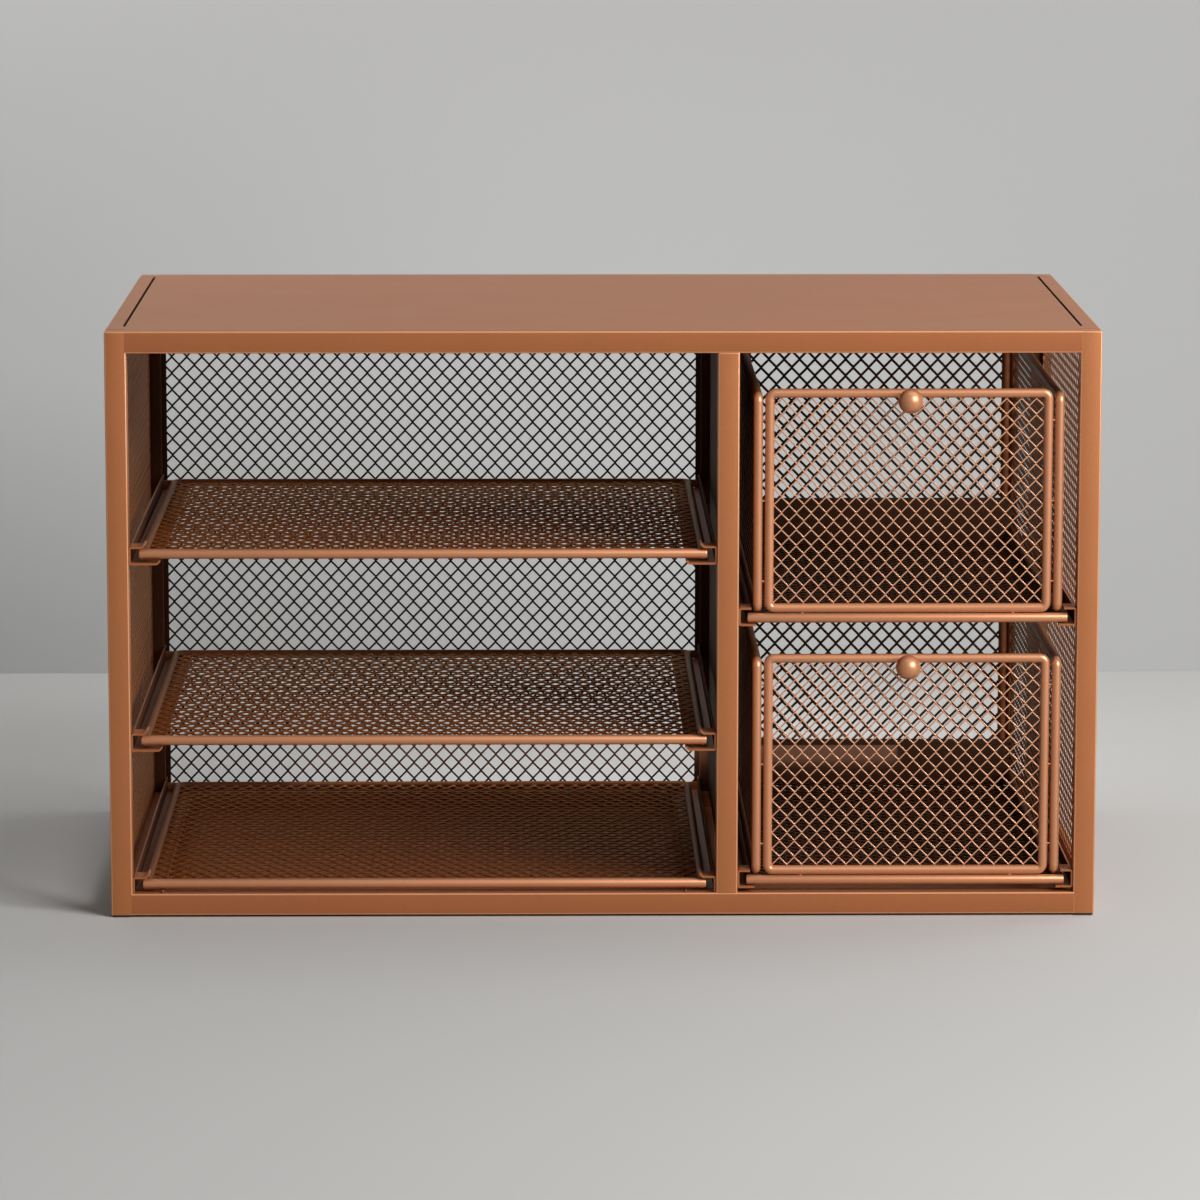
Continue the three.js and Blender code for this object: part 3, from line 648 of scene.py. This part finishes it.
class ORGANIZER_OT_panels(bpy.types.Operator):
    """Models the folded top with its two slots, the divider and the bottom panel"""
    bl_idname = "organizer.panels"
    bl_label = "Panels"

    def execute(self, context):
        self.fold_top(context)
        sizes = context.scene.organizer_sizes
        for node in ("divider_panel", "bottom_panel"):
            low, high = box_of(node)
            thin = X if node == "divider_panel" else Z
            lap = Vector((WELD_LAP,) * 3)
            lap[thin] = 0
            low, high = low - lap, high + lap
            flat = bar(f"{node}_sheet", low, high)
            # The cut edges of the sheet are rounded by about a third of its thickness
            round_edges(lambda edge: not runs_along(edge, thin), sizes.sheet * 0.35, 2)
            # The divider takes the dark inner coat: painted shade
            finish = "inner_shade_paint" if node == "divider_panel" else "paint"
            settle(flat, coated(finish), "copper_paint", node)
        return {"FINISHED"}

    def fold_top(self, context):
        """One sheet, slotted near both ends and folded down and back under at the front and rear."""
        sizes = context.scene.organizer_sizes
        low, high = box_of("top_panel")
        post_low, post_high = box_of("post_front_right")
        rail_low, _ = box_of("rail_top_right")
        tube = post_high.y - post_low.y
        half = rail_low.x
        slot = half - sizes.slot_width
        shoulder = post_low.x + sizes.tube_corner
        corner = tube - sizes.tube_corner
        front, rear = low.y + corner, high.y - corner
        # The flanges fold back under, and stop short of the far side of the tube
        return_flange = tube - 1.5 * MM
        lip_radius = 0.4 * MM
        slot_front, slot_rear = low.y + sizes.slot_front, high.y - sizes.slot_rear
        top = begin(
            "top_panel_sheet", bpy.ops.mesh.primitive_plane_add, (2 * half, high.y - low.y, 1), size=1,
            location=(0, (low.y + high.y) / 2, high.z))
        for across in (slot, -slot, shoulder, -shoulder):
            cut((across, 0, high.z), (1, 0, 0))
        for along in (front, slot_front, slot_rear, rear):
            cut((0, along, high.z), (0, 1, 0))

        def missing(face):
            spot = middle(face)
            in_corner = abs(spot.x) > shoulder and not front < spot.y < rear
            in_slot = abs(spot.x) > slot and slot_front < spot.y < slot_rear
            return in_corner or in_slot

        remove("FACE", missing)
        for end, inwards in ((low.y, 1), (high.y, -1)):
            pick("EDGE", lambda edge: lies_at(edge, Y, end) and lies_at(edge, Z, high.z))
            extrude(z=low.z - high.z)
            extrude(y=inwards * return_flange)
        for side in (-1, 1):
            pick("EDGE", lambda edge: lies_at(edge, X, side * slot) and lies_at(edge, Z, high.z) and edge.is_boundary)
            extrude(z=-sizes.slot_depth)
            extrude(x=side * 2 * sizes.slot_width)
            round_edges(
                lambda edge: lies_at(edge, X, side * slot) and lies_at(edge, Z, high.z)
                and len(edge.link_faces) == 2 and edge.calc_face_angle() > 1, lip_radius, 2)
        for end in (low.y, high.y):
            round_edges(lambda edge: lies_at(edge, Y, end) and runs_along(edge, X), sizes.tube_corner)
        face_sheet(at(Z, high.z), Z, 1)
        modify(top, "SOLIDIFY", thickness=sizes.sheet, offset=-1, use_even_offset=True)
        # The rounded edges take the lighter edge coat, a painted highlight, and the lip under each slot takes the dark
        # inner coat, painted shade
        accents = [
            (coated("edge_highlight_paint"), is_edge),
            (coated("inner_shade_paint"), lambda face: middle(face).z < high.z - MM
             and abs(middle(face).x) > slot - CLOSE and slot_front < middle(face).y < slot_rear)]
        settle(top, coated("paint"), "copper_paint", "top_panel", accents=accents)


class ORGANIZER_OT_runners(bpy.types.Operator):
    """Models the folded C-section runners on both walls of each bay, with a stop at their rear ends"""
    bl_idname = "organizer.runners"
    bl_label = "Runners"

    def execute(self, context):
        for carrier in TRAYS + DRAWERS:
            for place, inwards in (("left", 1), ("right", -1)):
                lip = context.scene.organizer_sizes.runner_lip if carrier in TRAYS else 0
                self.fold(context, f"{carrier}_runner_{place}", inwards, lip)
        return {"FINISHED"}

    def fold(self, context, node, inwards, lip):
        """One runner: a web on the wall, a full bottom flange, and a top flange that is only a tab at the front."""
        sizes = context.scene.organizer_sizes
        low, high = box_of(node)
        wall = low.x - FIT if inwards > 0 else high.x + FIT
        bottom_flange = high.x - low.x - lip + FIT
        top_flange = sizes.top_flange + FIT
        web_top = low.z + sizes.runner_height
        bend, lip_bend = sizes.runner_bend, 0.6 * MM
        runner = begin(
            f"{node}_channel", bpy.ops.mesh.primitive_plane_add, (web_top - low.z, high.y - low.y, 1), size=1,
            rotation=ALONG_X, location=(wall, (low.y + high.y) / 2, (low.z + web_top) / 2))
        for level, flange in ((low.z, bottom_flange), (web_top, top_flange)):
            pick("EDGE", lambda edge: lies_at(edge, Z, level) and lies_at(edge, X, wall))
            extrude(x=inwards * flange)
            if lip:
                extrude(x=inwards * lip, z=lip)
        _, rail_high = box_of("rail_bottom_front")
        if low.z < rail_high.z:
            self.notch(rail_high)
        round_edges(lambda edge: lies_at(edge, X, wall) and at(Z, low.z, web_top)(edge), bend, 3)

        # The top flange goes behind its tab, and the web is relieved round the part that folds in as the stop
        tab_end = low.y + sizes.front_tab
        stop_top = low.z + sizes.stop_height
        rear = high.y - 1.5 * bend
        cut((0, tab_end, 0), (0, 1, 0))
        cut((0, rear, 0), (0, 1, 0))
        cut((0, 0, stop_top), (0, 0, 1))

        def missing(face):
            spot = middle(face)
            if abs(spot.x - wall) > bend:
                return spot.z > web_top - CLOSE and spot.y > tab_end
            return spot.y > rear and not low.z + bend < spot.z < stop_top

        remove("FACE", missing)
        pick("EDGE", lambda edge: lies_at(edge, Y, high.y) and lies_at(edge, X, wall))
        extrude(x=inwards * bottom_flange)
        round_edges(lambda edge: lies_at(edge, Y, high.y) and lies_at(edge, X, wall), bend, 3)
        if lip:
            round_edges(
                lambda edge: runs_along(edge, Y) and abs(abs(middle(edge).x - wall) - bottom_flange) < CLOSE
                and middle(edge).z < low.z + sizes.sheet, lip_bend, 2)
        face_sheet(at(X, wall), X, -inwards)
        modify(runner, "SOLIDIFY", thickness=sizes.sheet, offset=-1, use_even_offset=True)
        # Faces inside the channel take the dark inner coat: painted shade
        inside = [(coated("inner_shade_paint"), lambda face: face.normal.x * inwards > 0.9)]
        settle(runner, coated("paint"), "copper_paint", node, accents=inside)

    def notch(self, rail_high):
        """Cuts the lower corners away where a runner passes over the front and rear rails."""
        rear_rail_low, _ = box_of("rail_bottom_back")
        front, rear, floor = rail_high.y + FIT, rear_rail_low.y - FIT, rail_high.z + FIT
        cut((0, front, 0), (0, 1, 0))
        cut((0, rear, 0), (0, 1, 0))
        cut((0, 0, floor), (0, 0, 1))
        remove("FACE", lambda face: middle(face).z < floor and not front < middle(face).y < rear)


def bent_rod(name, width, far, radius, rod, sizes, loop=False):
    """A U of rod in its own XY, its bends at Y = far and its ends at Y = 0. As a loop, it is mirrored there.

    Width and far are at the rod's middle.
    """
    side = math.copysign(1, far)
    bend_x, bend_y = width / 2 - radius, far - side * radius
    made = begin(
        name, bpy.ops.mesh.primitive_circle_add, vertices=sizes.rod_sides, radius=rod / 2, fill_type="NOTHING",
        location=(0, far, 0), rotation=ALONG_X)
    extrude(x=bend_x)
    bpy.ops.mesh.spin(
        steps=sizes.bend_steps, angle=side * QUARTER_TURN, center=(bend_x, bend_y, 0), axis=(0, 0, 1))
    extrude(y=-bend_y)
    if not loop:
        bpy.ops.mesh.edge_face_add()
    modify(made, "MIRROR", use_axis=(True, loop, False), use_mirror_merge=True, merge_threshold=CLOSE)
    bpy.ops.object.mode_set(mode="EDIT")
    face_outwards()
    leave_edit()
    return made


def straight_rod(name, span, rod, blunt, sizes):
    """A straight rod along X with rounded ends, about the origin."""
    made = begin(
        name, bpy.ops.mesh.primitive_cylinder_add, vertices=sizes.rod_sides, radius=rod / 2, depth=span,
        rotation=ALONG_X)
    round_edges(at(X, span / 2, -span / 2), blunt, 3)
    leave_edit()
    return made


def weld(name, start, end, thickness):
    """A weld between two rods: a short bridge, drawn in at its waist."""
    start, end = Vector(start), Vector(end)
    way, centre = end - start, (start + end) / 2
    turn = way.to_track_quat("Z", "Y").to_euler()
    made = begin(
        name, bpy.ops.mesh.primitive_cylinder_add, vertices=10, radius=thickness / 2, depth=way.length,
        location=centre, rotation=turn)
    cut(centre, way.normalized())
    waist = 0.72
    bpy.ops.transform.resize(value=(waist, waist, waist))
    leave_edit()
    return made


def carrier(context, node, piece_name, side_rod, radius):
    """The rod frame that runs on a pair of runners: a U rod, and a straight rod across its front."""
    sizes = context.scene.organizer_sizes
    low, high = box_of(node)
    front_rod = sizes.carrier_rod
    x = (low.x + high.x) / 2
    span = high.x - low.x
    front = Vector((x, low.y + front_rod / 2, high.z - front_rod / 2))
    u_level = low.z + side_rod / 2 * FACET if side_rod < front_rod else front.z
    rear_y = high.y - side_rod / 2 * FACET
    straight = straight_rod(piece_name, span, front_rod, sizes.blunt_end, sizes)
    place_at(straight, front)
    bend = bent_rod(piece_name + "_bend", span - side_rod, rear_y - front.y, radius, side_rod, sizes)
    place_at(bend, (x, front.y, u_level))
    return joined([straight, bend]), front, Vector((x, rear_y, u_level)), span


def painted_rod_shade(front_y):
    """The darker, duller rod coat, for the faces that lie behind the rod across the front: painted shade."""
    reach = front_y + bpy.context.scene.organizer_sizes.carrier_rod / 2
    return [(coated("inner_rod_shade_paint"), lambda face: middle(face).y > reach)]


class ORGANIZER_OT_frames(bpy.types.Operator):
    """Models the rod frames of the trays, the drawers' base rods and the rods round their walls, with the welds"""
    bl_idname = "organizer.frames"
    bl_label = "Frames"

    def execute(self, context):
        sizes = context.scene.organizer_sizes
        for tray in TRAYS:
            node = f"{tray}_frame"
            rods, front, _, _ = carrier(context, node, f"{node}_rods", sizes.tray_side_rod, sizes.tray_bend)
            settle(rods, coated("rod_paint"), "copper_rod", node, accents=painted_rod_shade(front.y))
        for drawer in DRAWERS:
            node = f"{drawer}_base_frame"
            base, front, rear, span = carrier(context, node, f"{node}_rods", sizes.carrier_rod, sizes.base_bend)
            settle(base, coated("rod_paint"), "copper_rod", node, accents=painted_rod_shade(front.y))
            side_middle, _ = middle_of(f"{drawer}_right_frame")
            for wall in ("front", "back", "left", "right"):
                self.wall(context, drawer, wall, front, rear, span, side_middle.x - front.x)
        return {"FINISHED"}

    def wall(self, context, drawer, wall, front, rear, span, side_reach):
        """One wall's loop of rod, welded to the base rod under it and to its neighbours."""
        sizes = context.scene.organizer_sizes
        rod = sizes.wall_rod
        node = f"{drawer}_{wall}_frame"
        place, size = middle_of(node)
        crosswise = wall in ("front", "back")
        # The front loop stands clear of its neighbours, and the rear one is pressed against them
        neighbour = sizes.front_clearance if wall == "front" else 0
        height = size.z - rod * FACET + (sizes.rear_rise if wall == "back" else 0)
        width = 2 * (side_reach - rod - neighbour) if crosswise else size.y - rod * FACET
        loop = bent_rod(f"{node}_rods", width, -height / 2, sizes.wall_bend, rod, sizes, loop=True)
        place_at(loop, place, FACING["front" if crosswise else "side"])
        parts = [loop]
        lowest = place.z - height / 2
        if crosswise:
            for share in (-0.36, 0, 0.36):
                for side in (-1, 1):
                    z = place.z + share * (size.z + rod * (1 - FACET))
                    start = (place.x + side * (width / 2 + rod * SUNK), place.y, z)
                    end = (place.x + side * (side_reach - rod * SUNK), place.y, z)
                    parts.append(weld(f"{node}_weld", start, end, 1.6 * MM))
            for share in (-0.38, 0.38):
                x = place.x + share * width
                base_y = front.y if wall == "front" else rear.y
                base_z = front.z + sizes.carrier_rod * SUNK
                parts.append(weld(f"{node}_weld", (x, base_y, base_z), (x, place.y, lowest), 2.4 * MM))
        else:
            side = 1 if wall == "right" else -1
            base_x = front.x + side * (span / 2 - sizes.carrier_rod / 2)
            for share in (-0.36, -0.12, 0.12, 0.36):
                y = place.y + share * width
                parts.append(weld(f"{node}_weld", (base_x, y, front.z), (place.x, y, lowest), 2.6 * MM))
        # The rear loop takes the darker rod coat, and so do the side loops' faces behind the front rods: painted shade
        finish = "inner_rod_shade_paint" if wall == "back" else "rod_paint"
        accents = () if crosswise else painted_rod_shade(front.y)
        settle(joined(parts), coated(finish), "copper_rod", node, accents=accents)


class ORGANIZER_OT_knobs(bpy.types.Operator):
    """Models the drawers' ball knobs, turned in one piece with their necks"""
    bl_idname = "organizer.knobs"
    bl_label = "Knobs"

    def execute(self, context):
        sizes = context.scene.organizer_sizes
        for drawer in DRAWERS:
            node = f"{drawer}_knob"
            low, high = box_of(node)
            radius = (high.z - low.z) / 2
            x, z = (low.x + high.x) / 2, (low.z + high.z) / 2
            centre_y = low.y + radius
            rod_low, rod_high = box_of(f"{drawer}_front_frame")
            neck_end = (rod_low.y + rod_high.y) / 2 - sizes.wall_rod * SUNK
            knob = begin(
                f"{node}_turned", bpy.ops.mesh.primitive_circle_add, vertices=48, radius=radius,
                fill_type="NOTHING", location=(x, centre_y, z), rotation=ALONG_X)
            # The neck's radius, how far it is drawn in behind the ball, and how far it flares at the rod
            neck, waist, flare = 2.3 * MM, 0.4 * MM, 0.8 * MM
            remove("VERT", lambda v: v.co.z < z - CLOSE or (v.co.y > centre_y and v.co.z < z + neck))
            rearmost = max(v.co.y for v in bmesh.from_edit_mesh(knob.data).verts)
            pick("VERT", lambda v: abs(v.co.y - rearmost) < CLOSE)
            for share, outwards in ((0.45, -waist), (0.3, 0), (0.25, flare)):
                extrude(y=(neck_end - rearmost) * share, z=outwards)
            bpy.ops.mesh.select_all(action="SELECT")
            bpy.ops.mesh.spin(steps=40, angle=2 * math.pi, center=(x, centre_y, z), axis=(0, 1, 0))
            bpy.ops.mesh.select_all(action="SELECT")
            bpy.ops.mesh.remove_doubles(threshold=CLOSE)
            pick("EDGE", lambda edge: edge.is_boundary)
            bpy.ops.mesh.edge_face_add()
            face_outwards()
            settle(knob, coated("rod_paint"), "copper_rod", node)
        return {"FINISHED"}


def expanded_net(name, width, height, diamond, strand, depth, sizes):
    """Expanded mesh in its own XY: zigzag strands that are joined where their bends meet.

    The diamonds are fitted so that the edges cut across the middles of the strands.
    """
    across = round(2 * width / diamond[0])
    up = round(2 * height / diamond[1])
    half_x, half_y = width / across, height / up
    start = Vector((-width / 2 - half_x * 1.5, -height / 2 - half_y * 1.5 + sizes.bond / 2, sizes.wave))
    rise = half_y - sizes.bond
    slant = math.hypot(half_x, rise) / half_x
    net = begin(
        name, bpy.ops.mesh.primitive_circle_add, (depth, strand * slant, 1), vertices=6, radius=0.5,
        fill_type="NOTHING", location=start, rotation=ALONG_X)
    extrude(half_x, rise, -2 * sizes.wave)
    extrude(half_x, -rise, 2 * sizes.wave)
    for count, offset in (
            (across // 2 + 3, (2 * half_x, 0, 0)),
            (2, (half_x, half_y, 0)),
            (up // 2 + 3, (0, 2 * half_y, 0))):
        modify(
            net, "ARRAY", count=count, use_relative_offset=False, use_constant_offset=True,
            constant_offset_displace=offset, use_merge_vertices=offset[1] == 0, merge_threshold=CLOSE)
    bpy.ops.object.mode_set(mode="EDIT")
    face_outwards()
    for side in (-1, 1):
        cut((side * width / 2, 0, 0), (side, 0, 0), keep_all=False)
        cut((0, side * height / 2, 0), (0, side, 0), keep_all=False)
    leave_edit()
    return net


def net_border(name, width, height, strip, thickness):
    """The flat strip that a mesh is welded to all round."""
    border = begin(name, bpy.ops.mesh.primitive_plane_add, (width, height, 1), size=1)
    bpy.ops.mesh.inset(thickness=strip, depth=0)
    bpy.ops.mesh.delete(type="FACE")
    modify(border, "SOLIDIFY", thickness=thickness, offset=0)
    return border


class ORGANIZER_OT_nets(bpy.types.Operator):
    """Models the meshes of the cabinet, the trays and the drawers, and the plain strip at the foot of each rear wall, a
    dark sheet of painted shade
    """
    bl_idname = "organizer.nets"
    bl_label = "Meshes"

    def execute(self, context):
        sizes = context.scene.organizer_sizes
        # Of each kind of net: how it faces, its diamonds, the width and thickness of its strands, and its coat
        cabinet_side = ("side", sizes.cabinet_pitch, sizes.strand_width, sizes.thin_depth, "side_mesh_paint")
        # The mesh behind the trays takes the dark rear coat: painted shade
        cabinet_back = ("front", sizes.cabinet_pitch, sizes.back_strand, sizes.strand_depth, "rear_mesh_paint")
        tray_floor = ("floor", sizes.tray_pitch, sizes.tray_strand_width, sizes.tray_strand_depth, "floor_mesh_paint")
        drawer_side = ("side", sizes.drawer_pitch, sizes.strand_width, sizes.thin_depth, "drawer_side_shade_paint")
        # Under and behind a drawer the mesh takes the dark rear coat and its sides a browner coat, both painted shade;
        # its front takes a brighter one, painted light
        drawer_nets = {
            "floor": ("floor", sizes.drawer_pitch, sizes.strand_width, sizes.floor_depth, "rear_mesh_paint"),
            "front": ("front", sizes.drawer_pitch, sizes.strand_width, sizes.strand_depth, "front_mesh_paint"),
            "back": ("front", sizes.rear_pitch, sizes.heavy_strand, sizes.strand_depth, "rear_mesh_paint"),
            "left": drawer_side,
            "right": drawer_side}

        for node, kind in (
                ("side_mesh_left", cabinet_side), ("side_mesh_right", cabinet_side), ("back_mesh", cabinet_back)):
            place, width, height = self.opening(node, kind, WELD_LAP)
            net = self.net(node, kind, place, width, height, sizes)
            border = net_border(f"{node}_border", width, height, sizes.net_border + WELD_LAP, thickness=0.9 * MM)
            place_at(border, place, FACING[kind[0]])
            self.settle_net(joined([net, border]), kind, node)
        for tray in TRAYS:
            node = f"{tray}_mesh"
            place, _ = middle_of(node)
            rods_low, rods_high = box_of(f"{tray}_frame")
            # Where the net ends, from a rod's outer side, as a share of its thickness
            let_in = 0.6
            side = sizes.tray_side_rod * let_in
            front, rear = rods_low.y + sizes.carrier_rod * let_in, rods_high.y - side
            place.y = (front + rear) / 2
            net = self.net(node, tray_floor, place, rods_high.x - rods_low.x - 2 * side, rear - front, sizes)
            self.settle_net(net, tray_floor, node)
        # A drawer's nets end half a millimetre short of the middles of their rods
        reach = sizes.wall_rod / 2 - 0.5 * MM + FIT
        for drawer in DRAWERS:
            for wall, kind in drawer_nets.items():
                node = f"{drawer}_{wall}_mesh"
                net = self.net(node, kind, *self.opening(node, kind, reach), sizes)
                # The strip is a dark sheet that stands in for shade: painted shade
                if wall == "back":
                    net = joined([net, self.strip(f"{node}_strip", drawer, sizes)])
                self.settle_net(net, kind, node)
        return {"FINISHED"}

    def opening(self, node, kind, reach):
        """The middle, width and height of a net that reaches past its node's box all round."""
        place, size = middle_of(node)
        width = size.y if kind[0] == "side" else size.x
        height = size.y if kind[0] == "floor" else size.z
        return place, width + 2 * reach, height + 2 * reach

    def net(self, node, kind, place, width, height, sizes):
        facing, diamond, strand, depth, _ = kind
        net = expanded_net(f"{node}_net", width, height, diamond, strand, depth, sizes)
        place_at(net, place, FACING[facing])
        return net

    def settle_net(self, net, kind, node):
        settle(net, coated(kind[-1]), "copper_wire_mesh", node, angle=STRAND_SMOOTH_ANGLE)

    def strip(self, name, drawer, sizes):
        """A plain strip of sheet before the rear wall's rods, from the floor up, folded over along its upper edge. In
        the dark rear coat, it stands in for the shade low in the drawer: painted shade.
        """
        floor_low, floor_high = box_of(f"{drawer}_floor_mesh")
        rods_low, _ = box_of(f"{drawer}_back_frame")
        tall = sizes.hem
        top = floor_low.z + tall
        # How far it stands before the rods, how deep and tall the fold is, its radius, and the sheet's thickness
        clear, fold_deep, fold_tall, fold_radius, thickness = 0.6 * MM, 1.8 * MM, 3 * MM, 0.5 * MM, 0.5 * MM
        made = begin(
            name, bpy.ops.mesh.primitive_plane_add, (floor_high.x - floor_low.x, tall, 1), size=1,
            rotation=FACING["front"], location=((floor_low.x + floor_high.x) / 2, rods_low.y - clear, top - tall / 2))
        pick("EDGE", at(Z, top))
        extrude(y=fold_deep)
        extrude(z=-fold_tall)
        round_edges(lambda edge: lies_at(edge, Z, top) and runs_along(edge, X), fold_radius, 2)
        modify(made, "SOLIDIFY", thickness=thickness, offset=0)
        return made


class ORGANIZER_OT_stage(bpy.types.Operator):
    """Sets the floor, the backdrop, the lamps, the even light and the camera"""
    bl_idname = "organizer.stage"
    bl_label = "Stage"

    def execute(self, context):
        scene = context.scene
        stage, colours = scene.organizer_stage, scene.organizer_colours
        floor = self.surface("studio_floor", (5.2, 5.2, 1), (0, 0, 0), "floor", colours.floor, False)
        wall = self.surface("studio_backdrop", (5.2, 2.6, 1), (0, 0.63, 1.3), "front", colours.backdrop, True)

        middle_height = (0, 0, 0.15)
        for name, power, place, aim, size in (
                ("key_lamp", stage.key_power, (1.9, -1.75, 1.55), middle_height, 1.5),
                ("top_lamp", stage.top_power, (0.3, -0.2, 2.2), middle_height, 1.4),
                ("rear_lamp", stage.rear_power, (1.0, 0.45, 1.7), middle_height, 0.8),
                ("fill_lamp", stage.fill_power, (0.3, -3.2, 1.8), middle_height, 1.6),
                ("wash_lamp", stage.wash_power, (-0.6, 0.2, 0.9), (-0.7, 1.1, 0.45), 0.5),
                ("backdrop_lamp", stage.backdrop_power, (0, 0.2, 0.2), (0, 0.63, 0.04), 0.36)):
            self.lamp(name, power, Vector(place), Vector(aim), size)

        sky = bpy.data.worlds.new("studio_light")
        sky.use_nodes = True
        tree = sky.node_tree
        glow = next(n for n in tree.nodes if n.type == "BACKGROUND")
        glow.inputs["Strength"].default_value = stage.sky
        # Past the floor and the wall there is more pale backdrop to be seen, also in bright metal. It lights nothing
        seen = add_node(tree, "ShaderNodeBackground", {"Color": shaded(colours.backdrop, 1.0), "Strength": 1.0})
        ray = add_node(tree, "ShaderNodeLightPath").outputs
        direct = add_node(
            tree, "ShaderNodeMath", {0: ray["Is Camera Ray"], 1: ray["Is Glossy Ray"]}, operation="MAXIMUM")
        shows = add_node(
            tree, "ShaderNodeMath", {0: direct.outputs["Value"], 1: ray["Is Transmission Ray"]}, operation="MAXIMUM")
        either = add_node(
            tree, "ShaderNodeMixShader",
            {0: shows.outputs["Value"], 1: glow.outputs["Background"], 2: seen.outputs["Background"]})
        output = next(n for n in tree.nodes if n.type == "OUTPUT_WORLD")
        tree.links.new(either.outputs["Shader"], output.inputs["Surface"])
        scene.world = sky

        clear_selection()
        bpy.ops.object.camera_add(location=stage.camera_place, rotation=stage.camera_turn)
        camera = context.object
        camera.name = "camera"
        camera.data.lens = stage.lens
        camera.data.sensor_width = 36
        camera.data.clip_start = 0.1
        camera.data.clip_end = 60
        scene.camera = camera
        scene.view_settings.view_transform = "Standard"
        return {"FINISHED"}

    def surface(self, name, size, place, facing, base, one_sided):
        made = begin(
            name, bpy.ops.mesh.primitive_plane_add, size, size=1, location=place, rotation=FACING[facing])
        bpy.ops.mesh.subdivide(number_cuts=3)
        leave_edit()
        made.data.materials.append(finish_named(name, studio_surface, base, one_sided))
        return made

    def lamp(self, name, power, place, aim, size):
        """A square soft lamp, which itself doesn't show."""
        clear_selection()
        turn = (aim - place).to_track_quat("-Z", "Y").to_euler()
        bpy.ops.object.light_add(type="AREA", location=place, rotation=turn)
        lamp = bpy.context.object
        lamp.name = name
        lamp.visible_camera = False
        lamp.data.energy = power
        lamp.data.shape = "SQUARE"
        lamp.data.size = size


OPERATORS = (
    ORGANIZER_OT_stage,
    ORGANIZER_OT_posts,
    ORGANIZER_OT_feet,
    ORGANIZER_OT_rails,
    ORGANIZER_OT_panels,
    ORGANIZER_OT_runners,
    ORGANIZER_OT_frames,
    ORGANIZER_OT_knobs,
    ORGANIZER_OT_nets,
)


class ORGANIZER_PT_panel(bpy.types.Panel):
    """Lists the sizes and colours of the organizer, and an operator for each group of its pieces"""
    bl_idname = "ORGANIZER_PT_panel"
    bl_label = "Desk Organizer"
    bl_space_type = "VIEW_3D"
    bl_region_type = "UI"
    bl_category = "Organizer"

    def draw(self, context):
        scene = context.scene
        for group in (scene.organizer_sizes, scene.organizer_colours, scene.organizer_stage):
            box = self.layout.box()
            for field in group.bl_rna.properties:
                if field.identifier not in ("rna_type", "name"):
                    box.prop(group, field.identifier)
        for operator in OPERATORS:
            self.layout.operator(operator.bl_idname)


GROUPS = (OrganizerSizes, OrganizerColours, OrganizerStage)


def register():
    for each in GROUPS + OPERATORS + (ORGANIZER_PT_panel,):
        bpy.utils.register_class(each)
    bpy.types.Scene.organizer_sizes = PointerProperty(type=OrganizerSizes)
    bpy.types.Scene.organizer_colours = PointerProperty(type=OrganizerColours)
    bpy.types.Scene.organizer_stage = PointerProperty(type=OrganizerStage)


def unregister():
    del bpy.types.Scene.organizer_stage
    del bpy.types.Scene.organizer_colours
    del bpy.types.Scene.organizer_sizes
    for each in reversed(GROUPS + OPERATORS + (ORGANIZER_PT_panel,)):
        bpy.utils.unregister_class(each)


def main():
    register()
    for operator in OPERATORS:
        group, name = operator.bl_idname.split(".")
        getattr(getattr(bpy.ops, group), name)()


if __name__ == "__main__":
    main()
